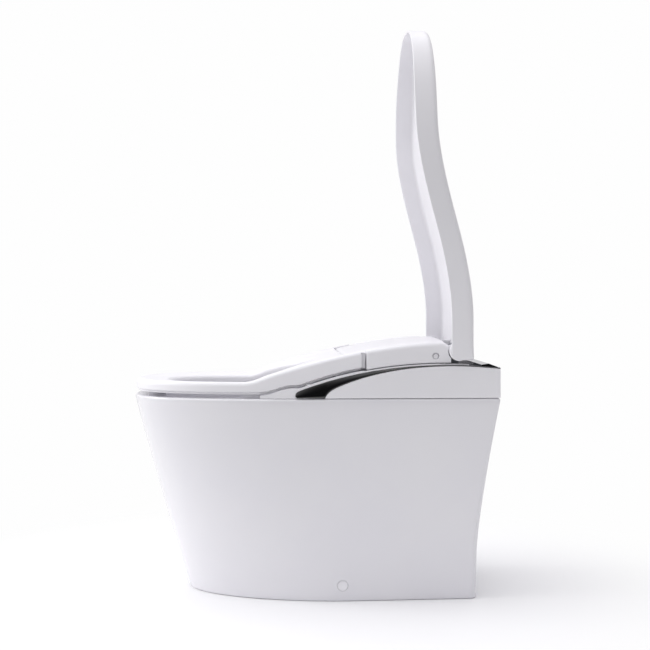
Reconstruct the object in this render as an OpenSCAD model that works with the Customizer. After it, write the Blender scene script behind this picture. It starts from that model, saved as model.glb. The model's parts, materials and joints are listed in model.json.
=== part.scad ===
// One-piece electric bidet toilet: a skirted ceramic pan with a heated bidet seat built in.
// Front points to -Y, the hinges are at +Y, +Z is up and the floor is Z = 0.

/* [Overall] */
// Length from the nose of the pan to its rear edge
length = 700; // [600:1:860]
// Width of the pan at its rim
rim_width = 368; // [340:1:450]
// Height of the pan's rim above the floor
rim_height = 385; // [310:1:470]
// Width of the pan at the floor
base_width = 304; // [260:1:360]
// How far the nose draws back between rim and floor
nose_setback = 108; // [60:1:140]
// How far the rear edge draws in between rim and floor
rear_setback = 39; // [10:1:60]

/* [Pan] */
// Thickness of the ceramic skirt
skirt_wall = 14; // [8:1:18]
// Thickness of the ceramic top rim slab
rim_slab = 16; // [10:1:22]
// Width of the rim between the pan's edge and the bowl
rim_band = 36; // [28:1:50]
// Thickness of the bowl wall
bowl_wall = 10; // [8:1:14]
// Outer diameter of the trap pipe
trap_d = 62; // [50:1:70]
// Wall of the trap pipe
trap_wall = 4; // [2:0.5:6]
// Bend radius of the trap pipe
trap_bend = 45; // [38:1:60]
// Distance from the rear edge to the centre of the waste outlet
outlet_setback = 275; // [240:1:285]
// Diameter of the side fixing holes
fixing_d = 21; // [14:0.5:26]
// Height of the side fixing holes above the floor
fixing_z = 30; // [24:1:40]

/* [Seat] */
// Half of the seat's width is inset this much from the rim edge
seat_inset = 6; // [3:0.5:12]
// Gap between the pan's rim and the seat
seat_gap = 8; // [6:0.5:12]
// Thickness of the seat ring at its flat front
seat_thick = 23; // [18:1:30]
// Width of the seat's opening
opening_w = 216; // [190:1:240]
// Width of the seat ring at its nose
ring_nose = 66; // [55:1:80]
// Rise from the flat seat front to the top of the housing
rise = 75; // [60:1:90]
// Diameter of the seat's hinge pins
seat_pin_d = 12; // [8:0.5:16]
// Radial clearance of every hinge pin
pin_play = 0.05; // [0.02:0.01:0.1]

/* [Lid] */
// Wall of the lid shell
lid_wall = 4; // [2.5:0.5:5]
// Depth of the lid's skirt
lid_skirt = 42; // [36:1:44]
// How far the closed lid reaches past the nose of the pan
lid_over = 14; // [12:1:24]
// How far the lid stands proud of the rim on each side
lid_proud = 6; // [5:0.5:10]
// Diameter of the lid's hinge pins
lid_pin_d = 12; // [8:0.5:16]

/* [Hinges] */
// Lid hinge, in front of the rear edge
lid_hinge_back = 80; // [76:1:84]
// Lid hinge, above the rim
lid_hinge_up = 88; // [86:1:92]
// Seat hinge, in front of the rear edge
seat_hinge_back = 122.5; // [120:0.5:126]
// Seat hinge, above the rim
seat_hinge_up = 79.5; // [78:0.5:82]

/* [Housing] */
// Half width of the centre housing
housing_half = 146; // [140:1:148]
// Wall of every moulded cover
cover_wall = 3; // [2:0.5:4]
// Front of the centre housing, in front of the rear edge
housing_front_back = 302; // [296:1:306]
// Rear of the centre housing, in front of the rear edge
housing_rear_back = 99; // [97:1:101]
// Width of each seat arm
arm_w = 27; // [22:1:28]
// Gap that shows between the seat ring and each arm
arm_gap = 7; // [5:0.5:9]
// Rear end of the seat ring, in front of the rear edge
ring_end_back = 262; // [256:1:266]
// Thickness of the black blade and of the side fairings
trim_thick = 4; // [3:0.5:5]

/* [Wash and dry] */
// Diameter of the wash wand
wand_d = 16; // [12:0.5:18]
// Length of the wash wand
wand_len = 118; // [100:1:124]
// Slope of the wash wand below level, in degrees
wand_slope = 25; // [22:1:28]
// Diameter of the dryer's blower wheel
fan_d = 54; // [44:1:58]
// Diameter of the side push buttons
button_d = 14; // [10:0.5:16]
// Travel of the side push buttons
button_travel = 1.5; // [1:0.1:2]
// Diameter of the inlet thread's core
inlet_d = 20.9; // [19:0.1:26]

/* [Hidden] */
$fn = 48;
eps = 0.5;

// Overall stations
front = -length/2;
rear = length/2;
rim = rim_height;
half_rim = rim_width/2;
half_base = base_width/2;
nose_len = 300;
nose_power = 2.5;
base_power = 1.9;

// Hinge axes
lid_y = rear - lid_hinge_back;
lid_z = rim + lid_hinge_up;
seat_y = rear - seat_hinge_back;
seat_z = rim + seat_hinge_up;

// Seat stations
seat_half = half_rim - seat_inset;
seat_front = front + 3;
seat_under = rim + seat_gap;
seat_flat = seat_under + seat_thick;
ring_end = rear - ring_end_back;
arm_front = ring_end + arm_gap;
kick_start = rear - 475;
kick_end = rear - 105;
housing_front = rear - housing_front_back;
housing_rear = rear - housing_rear_back;
ring_bridge_end = housing_front - 2;
arm_in = seat_half - arm_w;

// Lid stations, measured as height above the hinge when the lid stands open
lid_half = half_rim + lid_proud;
lid_len = lid_y - front + lid_over;
lid_foot = 16;
lid_back = 28;
lid_sway = 62;
lid_nose = lid_len - 320;
boss_r = 17.5;

// Deck stations
deck_low = rim + 44;
deck_t = 4;
chassis_t = 6;
chassis_top = rim + chassis_t;
blade_tip = rear - 386;
fair_tip = rear - 330;
blade_peak = rear - 84;

function smooth01(t) = let (u = min(1, max(0, t))) u*u*(3 - 2*u);
function spow(v, p) = sign(v)*pow(abs(v), p);
// Half width of a D outline that is round over its first nose_l behind the nose at y0
function d_half(y, y0, nose_l, w, n) =
    y >= y0 + nose_l ? w : w*pow(max(0, 1 - pow((y0 + nose_l - y)/nose_l, n)), 1/n);

// Pan outline at a height; its rear corners are tight at the rim and softer at the floor
rear_corner_top = 4;
rear_corner_low = 14;
function pan_drop(z) = pow(max(0, (rim - z)/rim), 1.08);
function pan_nose(z) = front + nose_setback*pan_drop(z);
function pan_rear(z) = rear - rear_setback*(1 - pow(max(0, (z - rim/4)/(rim*3/4)), 1.35));
function pan_half(z) = half_rim - (half_rim - half_base)*pan_drop(z);
function pan_power(z) = nose_power - (nose_power - base_power)*pan_drop(z);

// D outline as a ring of points, counterclockwise seen from above
nose_steps = 26;
function d_ring(z, w, y0, nose_l, n, y1, corner, pinch) = let (yc = y0 + nose_l) concat(
    [for (i = [0:nose_steps]) let (a = -90 + 180*i/nose_steps)
        [w*spow(sin(a), 2/n), yc - nose_l*pow(max(0, cos(a)), 2/n), z]],
    [[w*(1 - pinch*0.4), (yc + y1)/2, z]],
    [for (i = [0:3]) let (a = 30*i) [w*(1 - pinch) - corner*(1 - cos(a)), y1 - corner*(1 - sin(a)), z]],
    [for (i = [0:3]) let (a = 90 + 30*i) [-w*(1 - pinch) + corner*(1 + cos(a)), y1 - corner*(1 - sin(a)), z]],
    [[-w*(1 - pinch*0.4), (yc + y1)/2, z]]);
function pan_ring(z, inset) = d_ring(z, pan_half(z) - inset, pan_nose(z) + inset, nose_len - inset,
    pan_power(z), pan_rear(z) - inset, max(1.5, rear_corner_top
        + (rear_corner_low - rear_corner_top)*pan_drop(z) - inset/2), 0.06*pan_drop(z));

// The same outline moved to another height
function at_level(ring, z) = [for (p = ring) [p[0], p[1], z]];

// Solid skin over a stack of equal rings
module loft(rings) {
    n = len(rings[0]);
    m = len(rings);
    polyhedron(points = [for (r = rings) each r], faces = concat(
        [[for (i = [0:n - 1]) i]],
        [for (k = [0:m - 2], i = [0:n - 1]) let (j = (i + 1) % n, a = k*n + i, b = k*n + j,
            c = a + n, d = b + n) each [[a, c, d], [a, d, b]]],
        [[for (i = [n - 1:-1:0]) (m - 1)*n + i]]));
}

// A side profile in Y and Z, drawn across X from x0 to x1
module side_slab(points, x0, x1) {
    translate([x0, 0, 0]) rotate([90, 0, 90]) linear_extrude(x1 - x0) polygon(points);
}

// A round bar along X
module x_bar(y, z, x0, x1, d) {
    translate([x0, y, z]) rotate([0, 90, 0]) cylinder(h = x1 - x0, d = d);
}
module both_sides() {
    children();
    mirror([1, 0, 0]) children();
}
module block(x0, x1, y0, y1, z0, z1) {
    translate([x0, y0, z0]) cube([x1 - x0, y1 - y0, z1 - z0]);
}

// ---------------------------------------------------------------- ceramic pan
bowl_front = front + rim_band;
bowl_rear = rear - 325;
bowl_half = half_rim - rim_band;
outlet_y = rear - outlet_setback;
bend_y = outlet_y - trap_bend;
bend_z = 150;
trap_run = 86;
butt_gap = 0.1;
// One level of the bowl: share of the depth, front, rear and half width
bowl_levels = [[0, 0, 0, 1], [0.2, 8, -5, 0.97], [0.42, 30, -20, 0.88], [0.6, 66, -50, 0.72],
    [0.76, 118, -77, 0.5], [0.88, 155, -88, 0.34], [1, 180, -97, 0.2]];
bowl_floor = 105;
function bowl_ring(level, grow, lift) = let (
    y0 = bowl_front + level[1] - grow, y1 = bowl_rear + level[2] + grow,
    w = bowl_half*level[3] + grow, z = rim - (rim - bowl_floor)*level[0] + lift,
    yc = (y0 + y1)/2, l = (y1 - y0)/2)
    [for (i = [0:35]) let (a = -90 + 10*i) [w*spow(cos(a), 0.86), yc + l*spow(sin(a), 0.86), z]];

// Where the trap leaves the sump, and its slope of 45 degrees up to the bend
module along_trap() {
    translate([0, bend_y - trap_bend*sin(45), bend_z + trap_bend*cos(45)])
        rotate([135, 0, 0]) children();
}
module trap_bore_cut() {
    along_trap() translate([0, 0, -4]) cylinder(h = trap_run + 30, d = trap_d + 0.8);
}
module fixing_bore(d, x0, x1) {
    both_sides() x_bar(outlet_y - 21, fixing_z, x0, x1, d);
}
bay_half = 100;
screw_d = 6;
module at_screws() {
    for (x = [-120, 120], y = [housing_front + 40, rear - 84]) translate([x, y, 0]) children();
}
module pan_shell() {
    skirt_z = [for (i = [0:8]) rim*i/8];
    cavity_z = [-eps, each [for (i = [1:7]) (rim - rim_slab)*i/8], rim - rim_slab];
    color("white") difference() {
        loft([for (z = skirt_z) pan_ring(z, 0)]);
        difference() {
            loft([for (z = cavity_z) at_level(pan_ring(max(0, z), skirt_wall), z)]);
            loft([for (i = [len(bowl_levels) - 1:-1:0]) bowl_ring(bowl_levels[i], bowl_wall,
                i == len(bowl_levels) - 1 ? -bowl_wall : 0)]);
        }
        loft([for (i = [len(bowl_levels) - 1:-1:0]) bowl_ring(bowl_levels[i], 0, i == 0 ? eps : 0)]);
        trap_bore_cut();
        block(-bay_half, bay_half, bowl_rear + 50, rear - 30, rim - rim_slab - eps, rim + eps);
        at_screws() translate([0, 0, rim - 13]) cylinder(h = 14, d = screw_d + 0.4);
        fixing_bore(fixing_d, half_base - 30, half_rim);
    }
}
module pipe_leg(run) {
    difference() {
        cylinder(h = run, d = trap_d);
        translate([0, 0, -eps]) cylinder(h = run + 2*eps, d = trap_d - 2*trap_wall);
    }
}
// Two straight legs and a bend, each its own length of pipe, butted with a hair's gap
module trap_pipe() {
    color("gainsboro") {
        along_trap() translate([0, 0, butt_gap]) pipe_leg(trap_run - butt_gap);
        translate([0, bend_y, bend_z]) rotate([90, 0, 90]) rotate_extrude(angle = 135, start = 0)
            translate([trap_bend, 0]) difference() {
                circle(d = trap_d);
                circle(d = trap_d - 2*trap_wall);
            }
        translate([0, outlet_y, 8]) pipe_leg(bend_z - 8 - butt_gap);
    }
}
flange_d = 124;
socket_d = 76;
module waste_connector() {
    color("dimgray") difference() {
        translate([0, outlet_y, 0]) {
            cylinder(h = 8, d = flange_d);
            cylinder(h = 34, d = trap_d + 14);
        }
        translate([0, outlet_y, 8]) cylinder(h = 34, d = trap_d);
        translate([0, outlet_y, -eps]) cylinder(h = 20, d = trap_d - 2*trap_wall);
        translate([0, outlet_y, -eps]) cylinder(h = 6 + eps, d = socket_d);
    }
}
bracket_in = half_base - skirt_wall - 50;
bracket_out = half_base - skirt_wall - 12;
// L bracket: a foot on the floor with a slot-sized bore, and an upright tapped for the side screw
module floor_bracket() {
    color("silver") difference() {
        union() {
            block(bracket_in, bracket_out, outlet_y - 41, outlet_y - 1, 0, 5);
            block(bracket_out - 6, bracket_out, outlet_y - 41, outlet_y - 1, 0, fixing_z + 16);
        }
        translate([(bracket_in + bracket_out - 6)/2, outlet_y - 21, -eps]) cylinder(h = 7, d = 9);
        x_bar(outlet_y - 21, fixing_z, bracket_out - 7, bracket_out + 1, 8);
    }
}
module floor_bracket_left() mirror([1, 0, 0]) floor_bracket();
module floor_bracket_right() floor_bracket();
skirt_x = pan_half(fixing_z);
module bracket_screws() {
    color("silver") both_sides() {
        x_bar(outlet_y - 21, fixing_z, bracket_out - 12, skirt_x - skirt_wall - 1, 7.9);
        x_bar(outlet_y - 21, fixing_z, skirt_x - skirt_wall - 1, skirt_x - skirt_wall + 4, fixing_d - 6);
    }
}
module fixing_caps() {
    color("white") both_sides() {
        x_bar(outlet_y - 21, fixing_z, skirt_x - 8, skirt_x - 0.5, fixing_d - 0.6);
    }
}

// ---------------------------------------------------------------- deck and side trim
function blade_top(y) = let (t = min(1, max(0, (y - blade_tip - 8)/(blade_peak - blade_tip - 8))))
    rim + 15 + 47.5*(1 - pow(1 - t, 2.3)) - 5*pow(max(0, (y - blade_peak)/80), 1.5);
function fair_top(y) = let (t = min(1, max(0, (y - fair_tip)/(blade_peak - fair_tip))))
    rim + 11 + 50.6*(1 - pow(1 - t, 2.35)) - 5*pow(max(0, (y - blade_peak)/80), 1.5);
trim_in = half_rim - trim_thick;
trim_rear = rear - 1;
sweep_steps = 22;
function span(y0, y1) = [for (i = [0:sweep_steps]) y0 + (y1 - y0)*(1 - cos(90*i/sweep_steps))];
fair_stations = span(fair_tip + 4, trim_rear);
module blade() {
    color("black") side_slab(concat(
        [[blade_tip + 3, rim + 1], [blade_tip, rim + 5], [blade_tip + 1.5, rim + 8.5]],
        [for (y = span(blade_tip + 6, trim_rear)) [y, blade_top(y)]],
        [for (i = [len(fair_stations) - 1:-1:0]) [fair_stations[i], fair_top(fair_stations[i])]],
        [[fair_tip + 1, rim + 7], [fair_tip, rim + 1]]), trim_in, half_rim);
}
module blade_left() mirror([1, 0, 0]) blade();
module blade_right() blade();
module fairing() {
    side_slab(concat([[fair_tip, rim + 1], [fair_tip + 1, rim + 7]],
        [for (y = fair_stations) [y, fair_top(y)]],
        [[trim_rear, rim + 1]]), trim_in, half_rim);
}
button_z = rim + 34;
flush_y = rear - 92;
power_y = rear - 66;
module fairing_left() {
    color("white") difference() {
        mirror([1, 0, 0]) fairing();
        for (y = [flush_y, power_y]) x_bar(y, button_z, -half_rim - 1, -trim_in + 1, button_d + 0.6);
    }
}
module fairing_right() color("white") fairing();
works_half = trim_in - 4;
rail_wall = 1.4;
rail_gap = 0.2;
// White rail behind each blade: it fills the gap under the rising seat, and its upper edge shows
// as a thin lip above the blade
rail_front = rear - 452;
rail_stations = concat([for (i = [0:6]) rail_front + (blade_tip + 7 - rail_front)*i/7],
    span(blade_tip + 7, rear - 60));
function rail_top(y) = min(under_z(y) - 1.5, blade_top(y) + 2.5);
module side_rails() {
    color("whitesmoke") both_sides() difference() {
        side_slab(concat([[rail_front, rim + 1]], [for (y = rail_stations) [y, rail_top(y)]],
            [[rear - 60, rim + 1]]), trim_in - rail_gap - rail_wall, trim_in - rail_gap);
        for (y = [flush_y, power_y]) x_bar(y, button_z, works_half, trim_in + 1, button_d + 3);
    }
}
// Black deck: a floor under the seat arms and a raised shelf behind the lid
deck_hump = lid_y + 44;
module deck_plate() {
    color("black") difference() {
        union() {
            block(-trim_in + 2, trim_in - 2, arm_front + 2, rear - 4, deck_low, deck_low + deck_t);
            side_slab([[deck_hump, deck_low + deck_t], [deck_hump, rim + 63], [deck_hump + 14, rim + 65],
                [rear - 4, blade_top(rear - 4) + 0.5], [rear - 4, deck_low + deck_t]], -trim_in + 2, trim_in - 2);
        }
        block(-housing_half - 1, housing_half + 1, arm_front, housing_rear + 1, deck_low - 1, rim + 70);
        both_sides() block(block_in - 1, knuckle_in, housing_rear, lid_y + 13, deck_low - 1, rim + 70);
    }
}
module rear_panel() {
    color("white") difference() {
        block(-trim_in, trim_in, rear - 4, trim_rear, rim + 1, blade_top(rear - 4) + 0.5);
        translate([-110, rear, inlet_z]) rotate([90, 0, 0]) cylinder(h = 8, d = inlet_d + 15);
        translate([120, rear, inlet_z]) rotate([90, 0, 0]) cylinder(h = 8, d = 12.4);
    }
}
// Base plate of the works, screwed to the ceramic behind the bowl
module chassis() {
    color("lightgray") difference() {
        union() {
            block(-works_half + 2, works_half - 2, housing_front - 3, rear - 8, rim, chassis_top);
            both_sides() block(works_half - 6, works_half - 2, arm_front + 2, flush_y - 16, chassis_top, deck_low);
            block(-works_half + 8, -works_half + 11, flush_y - 12, power_y + 12, chassis_top, button_z + 8);
        }
        at_screws() translate([0, 0, rim - 1]) cylinder(h = chassis_t + 2, d = screw_d + 0.4);
        block(-bay_half + 10, bay_half - 10, housing_front + 70, rear - 60, rim - 1, chassis_top + 1);
    }
}

// ---------------------------------------------------------------- centre housing
// Height of the seat's upper edge, which runs on over the arms and the housing
function top_z(y) = let (t = min(1, max(0, (y - kick_start)/(kick_end - kick_start))))
    seat_flat + rise*(1 - pow(1 - t, 1.7))*smooth01((y - kick_start + 25)/60);
function under_z(y) = seat_under
    + (blade_top(y) + 6 - seat_under)*smooth01((y - blade_tip + 64)/60);
function house_ring(y, w, low, drop) = let (z = top_z(y) - drop, r = 14)
    [[-w, y, low], [w, y, low], [w, y, z - r], [w - 0.3*r, y, z - 0.3*r], [w - r, y, z], [w/2, y, z + 2.4],
     [0, y, z + 3], [-w/2, y, z + 2.4], [-w + r, y, z], [-w + 0.3*r, y, z - 0.3*r], [-w, y, z - r]];
flap_x = 62;
flap_w = 46;
flap_low = chassis_top + 5;
flap_high = chassis_top + 25;
wand_entry_z = rim + 27;
module centre_housing() {
    inner = cover_wall;
    color("white") difference() {
        loft([for (i = [10:-1:0]) house_ring(housing_front + (housing_rear - housing_front)*i/10,
            housing_half, chassis_top + 0.2, 0)]);
        loft([for (i = [10:-1:0]) house_ring(housing_front + inner
            + (housing_rear - housing_front - 2*inner)*i/10, housing_half - inner, chassis_top - 1, inner)]);
        along_wand() translate([0, 0, -60]) cylinder(h = 120, d = wand_d + 6);
        block(flap_x - flap_w/2 - 0.6, flap_x + flap_w/2 + 0.6, housing_front - 1, housing_front + 4,
            flap_low - 0.6, flap_high + 3.4);
        translate([-70, housing_front - 1, chassis_top + 30]) rotate([-90, 0, 0]) cylinder(h = 8, d = 16.4);
        both_sides() {
            x_bar(seat_y, seat_z, housing_half - 8, housing_half + 1, seat_pin_d + 1);
            block(block_in - 1, knuckle_in, housing_rear - 5, housing_rear + 1, chassis_top - 1, lid_z + 2);
        }
    }
}
module ir_window() {
    color([0.12, 0.1, 0.12]) translate([-70, housing_front, chassis_top + 30]) rotate([-90, 0, 0])
        cylinder(h = 5, d = 16);
}

// ---------------------------------------------------------------- hinges
knuckle_in = 105;
knuckle_out = 138;
block_in = 89;
// Die-cast carrier that holds both hinge pins of one side
module hinge_block() {
    seat_eye = 120;
    color("darkgray") difference() {
        union() {
            block(block_in, knuckle_in - 1, housing_rear - 60, lid_y + 12, chassis_top, chassis_top + 14);
            block(block_in, knuckle_in - 1, housing_rear - 6, lid_y + 12, chassis_top + 14, lid_z);
            x_bar(lid_y, lid_z, block_in, knuckle_in - 1, 24);
            block(seat_eye, housing_half - 4, seat_y - 11, seat_y + 11, chassis_top, seat_z);
            x_bar(seat_y, seat_z, seat_eye, housing_half - 4, 22);
            block(knuckle_in - 1, seat_eye, seat_y - 11, seat_y + 11, chassis_top, chassis_top + 14);
        }
        x_bar(lid_y, lid_z, block_in + 3, knuckle_in, lid_pin_d);
        x_bar(seat_y, seat_z, seat_eye + 3, housing_half, seat_pin_d);
    }
}
module hinge_block_left() mirror([1, 0, 0]) hinge_block();
module hinge_block_right() hinge_block();
module lid_pins() {
    color("silver") both_sides() x_bar(lid_y, lid_z, block_in + 3, knuckle_out - 2, lid_pin_d);
}
module seat_pins() {
    color("silver") both_sides() x_bar(seat_y, seat_z, 123, seat_half - 6, seat_pin_d);
}
module pin_caps() {
    color("whitesmoke") both_sides() x_bar(seat_y, seat_z, seat_half - 4, seat_half - 1.5, seat_pin_d);
}

// ---------------------------------------------------------------- seat
seat_nose_len = nose_len - 3;
ring_steps = 30;
seat_stations = [for (i = [0:ring_steps])
    i < 14 ? ring_end + (seat_front + seat_nose_len - ring_end)*i/14
    : seat_front + 0.6 + (seat_nose_len - 0.6)*(1 - sin(90*(i - 14)/16))];
// One cross section of the seat between two heights, counterclockwise seen from the front
function seat_ring(y, inset, z0, z1, r) = let (w = d_half(y, seat_front, seat_nose_len, seat_half, nose_power) - inset)
    [[-w, y, z0], [w, y, z0], [w, y, z1 - r], [w - min(w/3, 0.3*r), y, z1 - 0.3*r], [w - min(w/2, r), y, z1],
     [-w + min(w/2, r), y, z1], [-w + min(w/3, 0.3*r), y, z1 - 0.3*r], [-w, y, z1 - r]];
// Height of the lower shell, and the wall of the upper one
seat_split = 5;
seat_wall = 4;
opening_front = seat_front + ring_nose;
opening_rear = rear - 346;
module opening_prism(grow) {
    yc = (opening_front + opening_rear)/2;
    l = (opening_rear - opening_front)/2 + grow;
    translate([0, 0, rim]) linear_extrude(150) polygon([for (i = [0:47]) let (a = 7.5*i)
        [(opening_w/2 + grow)*spow(cos(a), 0.84), yc + l*spow(sin(a), 0.84)]]);
}
module bridge_notch(grow) {
    block(-arm_in - 2 - grow, arm_in + 2 + grow, ring_bridge_end - grow, ring_end + 1, rim, rim + 120);
}
tongue_in = arm_in + 5;
tongue_out = seat_half - 5;
tongue_z0 = top_z(ring_end) - 17;
tongue_z1 = top_z(ring_end) - 5;
tongue_len = 18;
module tongue_block(grow) {
    block(tongue_in - grow, tongue_out + grow, ring_end - tongue_len - grow, arm_front, tongue_z0 - grow,
        tongue_z1 + grow);
}
module seat_top() {
    color("white") difference() {
        loft([for (y = seat_stations) seat_ring(y, 0, under_z(y) + seat_split, top_z(y), 8)]);
        opening_prism(0);
        bridge_notch(0);
        loft([for (y = seat_stations) seat_ring(min(y, ring_end - seat_wall - 1), seat_wall + 2,
            under_z(y) + seat_split - 1, top_z(y) - seat_wall, 4)]);
        both_sides() tongue_block(0.1);
    }
}
module seat_base() {
    color("white") difference() {
        loft([for (y = seat_stations) seat_ring(y, 2.5, under_z(y), under_z(y) + seat_split, 0.4)]);
        opening_prism(2);
        bridge_notch(2);
        both_sides() tongue_block(0.1);
    }
}
module seat_heater() {
    color("orange") difference() {
        loft([for (y = seat_stations) if (y < ring_end - 24) seat_ring(y, 16, top_z(y) - 7.4, top_z(y) - 6.4, 0.2)]);
        opening_prism(14);
        bridge_notch(5);
    }
}
module seat_arm_shape() {
    end_y = lid_y - 17;
    difference() {
        side_slab(concat(
            [for (y = [for (i = [0:9]) arm_front + (end_y - arm_front)*i/9]) [y, under_z(y) - 2]],
            [[end_y, top_z(end_y) - 9], [end_y - 3, top_z(end_y) - 3], [end_y - 9, top_z(end_y)]],
            [for (y = [for (i = [8:-1:0]) arm_front + (end_y - 12 - arm_front)*i/9]) [y, top_z(y)]]),
            arm_in, seat_half);
        x_bar(lid_y, lid_z, arm_in - 1, seat_half + 1, 2*(boss_r + 4));
        x_bar(seat_y, seat_z, arm_in - 1, seat_half - 5, seat_pin_d + 2*pin_play);
        x_bar(seat_y, seat_z, seat_half - 4, seat_half + 1, seat_pin_d);
    }
    tongue_block(0);
}
module seat_arm_left() color("white") mirror([1, 0, 0]) seat_arm_shape();
module seat_arm_right() color("white") seat_arm_shape();
// Soft grey pads that fill the joint between ring and arms, set back from the surface
module arm_gaskets() {
    color("silver") both_sides() difference() {
        block(arm_in + 2, seat_half - 3, ring_end, arm_front, under_z(ring_end) + 3, top_z(ring_end) - 3);
        tongue_block(0.05);
    }
}
bumper_len = 34;
bumper_y = rear - 466;
module seat_bumpers() {
    color("gray") both_sides() for (y = [bumper_y, front + 50])
        let (x = d_half(y - bumper_len/2, seat_front, seat_nose_len, seat_half, nose_power) - 8)
        block(x - 12, x, y - bumper_len/2, y + bumper_len/2, rim + 0.1, seat_under);
}

// ---------------------------------------------------------------- lid
function lid_out(h) = lid_y + lid_back - lid_sway*smooth01((h - 60)/380) - 0.02*max(0, h - 200);
function lid_edge(h) = lid_out(h) - lid_skirt + 4*smooth01((h - lid_len + 160)/160);
function lid_w(h, inset) = (lid_half - inset)*pow(max(0, 1 - pow(max(0, (h - lid_nose))
    /(lid_len - inset - lid_nose), nose_power)), 1/nose_power);
lid_steps = 28;
function lid_heights(inset, foot) = [for (i = [0:lid_steps])
    i < 14 ? -foot + (lid_nose + foot)*i/14
    : lid_nose + (lid_len - inset - 0.5 - lid_nose)*sin(90*(i - 14)/14)];
function lid_ring(h, inset, y0, y1, r) = let (w = lid_w(h, inset), k = min(r, w/2), z = lid_z + h)
    [[-w, y0, z], [w, y0, z], [w, y1 - r, z], [w - 0.3*k, y1 - 0.3*r, z], [w - k, y1, z],
     [w/2, y1 + 2.6, z], [0, y1 + 3.4, z], [-w/2, y1 + 2.6, z],
     [-w + k, y1, z], [-w + 0.3*k, y1 - 0.3*r, z], [-w, y1 - r, z]];
module lid_shell() {
    color("white") {
        difference() {
            loft([for (h = lid_heights(0, lid_foot)) lid_ring(h, 0, lid_edge(h), lid_out(h), 9)]);
            loft([for (h = lid_heights(lid_wall, lid_foot + 1))
                lid_ring(h, lid_wall, lid_edge(h) - 1, lid_out(h) - lid_wall, 6)]);
            both_sides() block(lid_half - lid_wall - 1, lid_half + 1, lid_y - 40, lid_y, lid_z - 20, lid_z);
        }
        both_sides() x_bar(lid_y, lid_z, lid_half - lid_wall, lid_half, 2*boss_r);
    }
}
lid_inner_y = lid_y + lid_back - lid_wall;
module lid_hinge() {
    color("whitesmoke") difference() {
        union() {
            x_bar(lid_y, lid_z, knuckle_in, knuckle_out, 22);
            block(knuckle_in, knuckle_out, lid_y, lid_inner_y, lid_z - 11, lid_z + 11);
        }
        x_bar(lid_y, lid_z, knuckle_in - 1, knuckle_out - 2, lid_pin_d + 2*pin_play);
    }
}
module lid_hinge_left() mirror([1, 0, 0]) lid_hinge();
module lid_hinge_right() lid_hinge();
lid_bumper_h = lid_len - 60;
module lid_bumpers() {
    color("gray") both_sides() {
        translate([70, lid_out(lid_bumper_h) - lid_wall + 1.5, lid_z + lid_bumper_h]) rotate([90, 0, 0])
            cylinder(h = 5.5, d = 12);
    }
}
module chassis_screws() {
    color("silver") at_screws() translate([0, 0, rim - 12]) {
        cylinder(h = 12 + chassis_t, d = screw_d);
        translate([0, 0, 12 + chassis_t]) cylinder(h = 3.5, d = 11);
    }
}

// ---------------------------------------------------------------- water works in the rear bay
tank_y0 = rear - 236;
tank_y1 = rear - 112;
module flush_tank() {
    color("lightblue") difference() {
        block(-112, 112, tank_y0, tank_y1, 130, rim - rim_slab - 8);
        block(-109, 109, tank_y0 + 3, tank_y1 - 3, 133, rim - rim_slab - 11);
        translate([60, (tank_y0 + tank_y1)/2, rim - rim_slab - 12]) cylinder(h = 6, d = 20);
    }
}
module flush_pump() {
    color("darkslategray") {
        translate([60, tank_y1 + 24, 150]) cylinder(h = 90, d = 46);
        block(48, 72, tank_y1, tank_y1 + 24, 140, 156);
        translate([60, tank_y1 + 24, 136]) cylinder(h = 14, d = 30);
    }
}
module control_board() {
    color("green") {
        block(-80, 20, housing_rear - 74, housing_rear - 16, chassis_top + 44, chassis_top + 45.6);
        for (i = [0:3]) block(-70 + 22*i, -58 + 22*i, housing_rear - 60, housing_rear - 46,
            chassis_top + 45.6, chassis_top + 50);
        for (x = [-76, 12], y = [housing_rear - 70, housing_rear - 24])
            translate([x, y, chassis_top]) cylinder(h = 44, d = 6);
    }
}
module power_supply() {
    color("dimgray") block(94, 134, housing_front + 62, housing_front + 132, chassis_top, chassis_top + 42);
}
module water_heater() {
    color("peru") {
        translate([-112, housing_front + 70, chassis_top + 26]) rotate([-90, 0, 0]) cylinder(h = 66, d = 36);
        for (y = [housing_front + 76, housing_front + 120])
            block(-124, -100, y, y + 10, chassis_top, chassis_top + 14);
    }
}
inlet_z = rim + 24;
module water_inlet() {
    color("gold") difference() {
        translate([-110, rear - 24, inlet_z]) rotate([-90, 0, 0]) {
            cylinder(h = 23, d = inlet_d);
            cylinder(h = 12, d = 28);
        }
        translate([-110, rear - 25, inlet_z]) rotate([-90, 0, 0]) cylinder(h = 26, d = 12);
    }
}
module inlet_valve() {
    color("steelblue") difference() {
        union() {
            block(-124, -96, rear - 62, rear - 24, chassis_top, inlet_z + 15);
            translate([-110, rear - 44, inlet_z + 15]) cylinder(h = 4, d = 18);
        }
        translate([-110, rear - 50, inlet_z]) rotate([-90, 0, 0]) cylinder(h = 27, d = 12);
    }
}
module cable_gland() {
    color("dimgray") difference() {
        translate([120, rear - 14, inlet_z]) rotate([-90, 0, 0]) {
            cylinder(h = 13, d = 12);
            cylinder(h = 10, d = 18);
        }
        translate([120, rear - 15, inlet_z]) rotate([-90, 0, 0]) cylinder(h = 16, d = 7);
    }
}

// ---------------------------------------------------------------- wash wand
wand_z = wand_entry_z;
wand_rest = 2;
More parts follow.
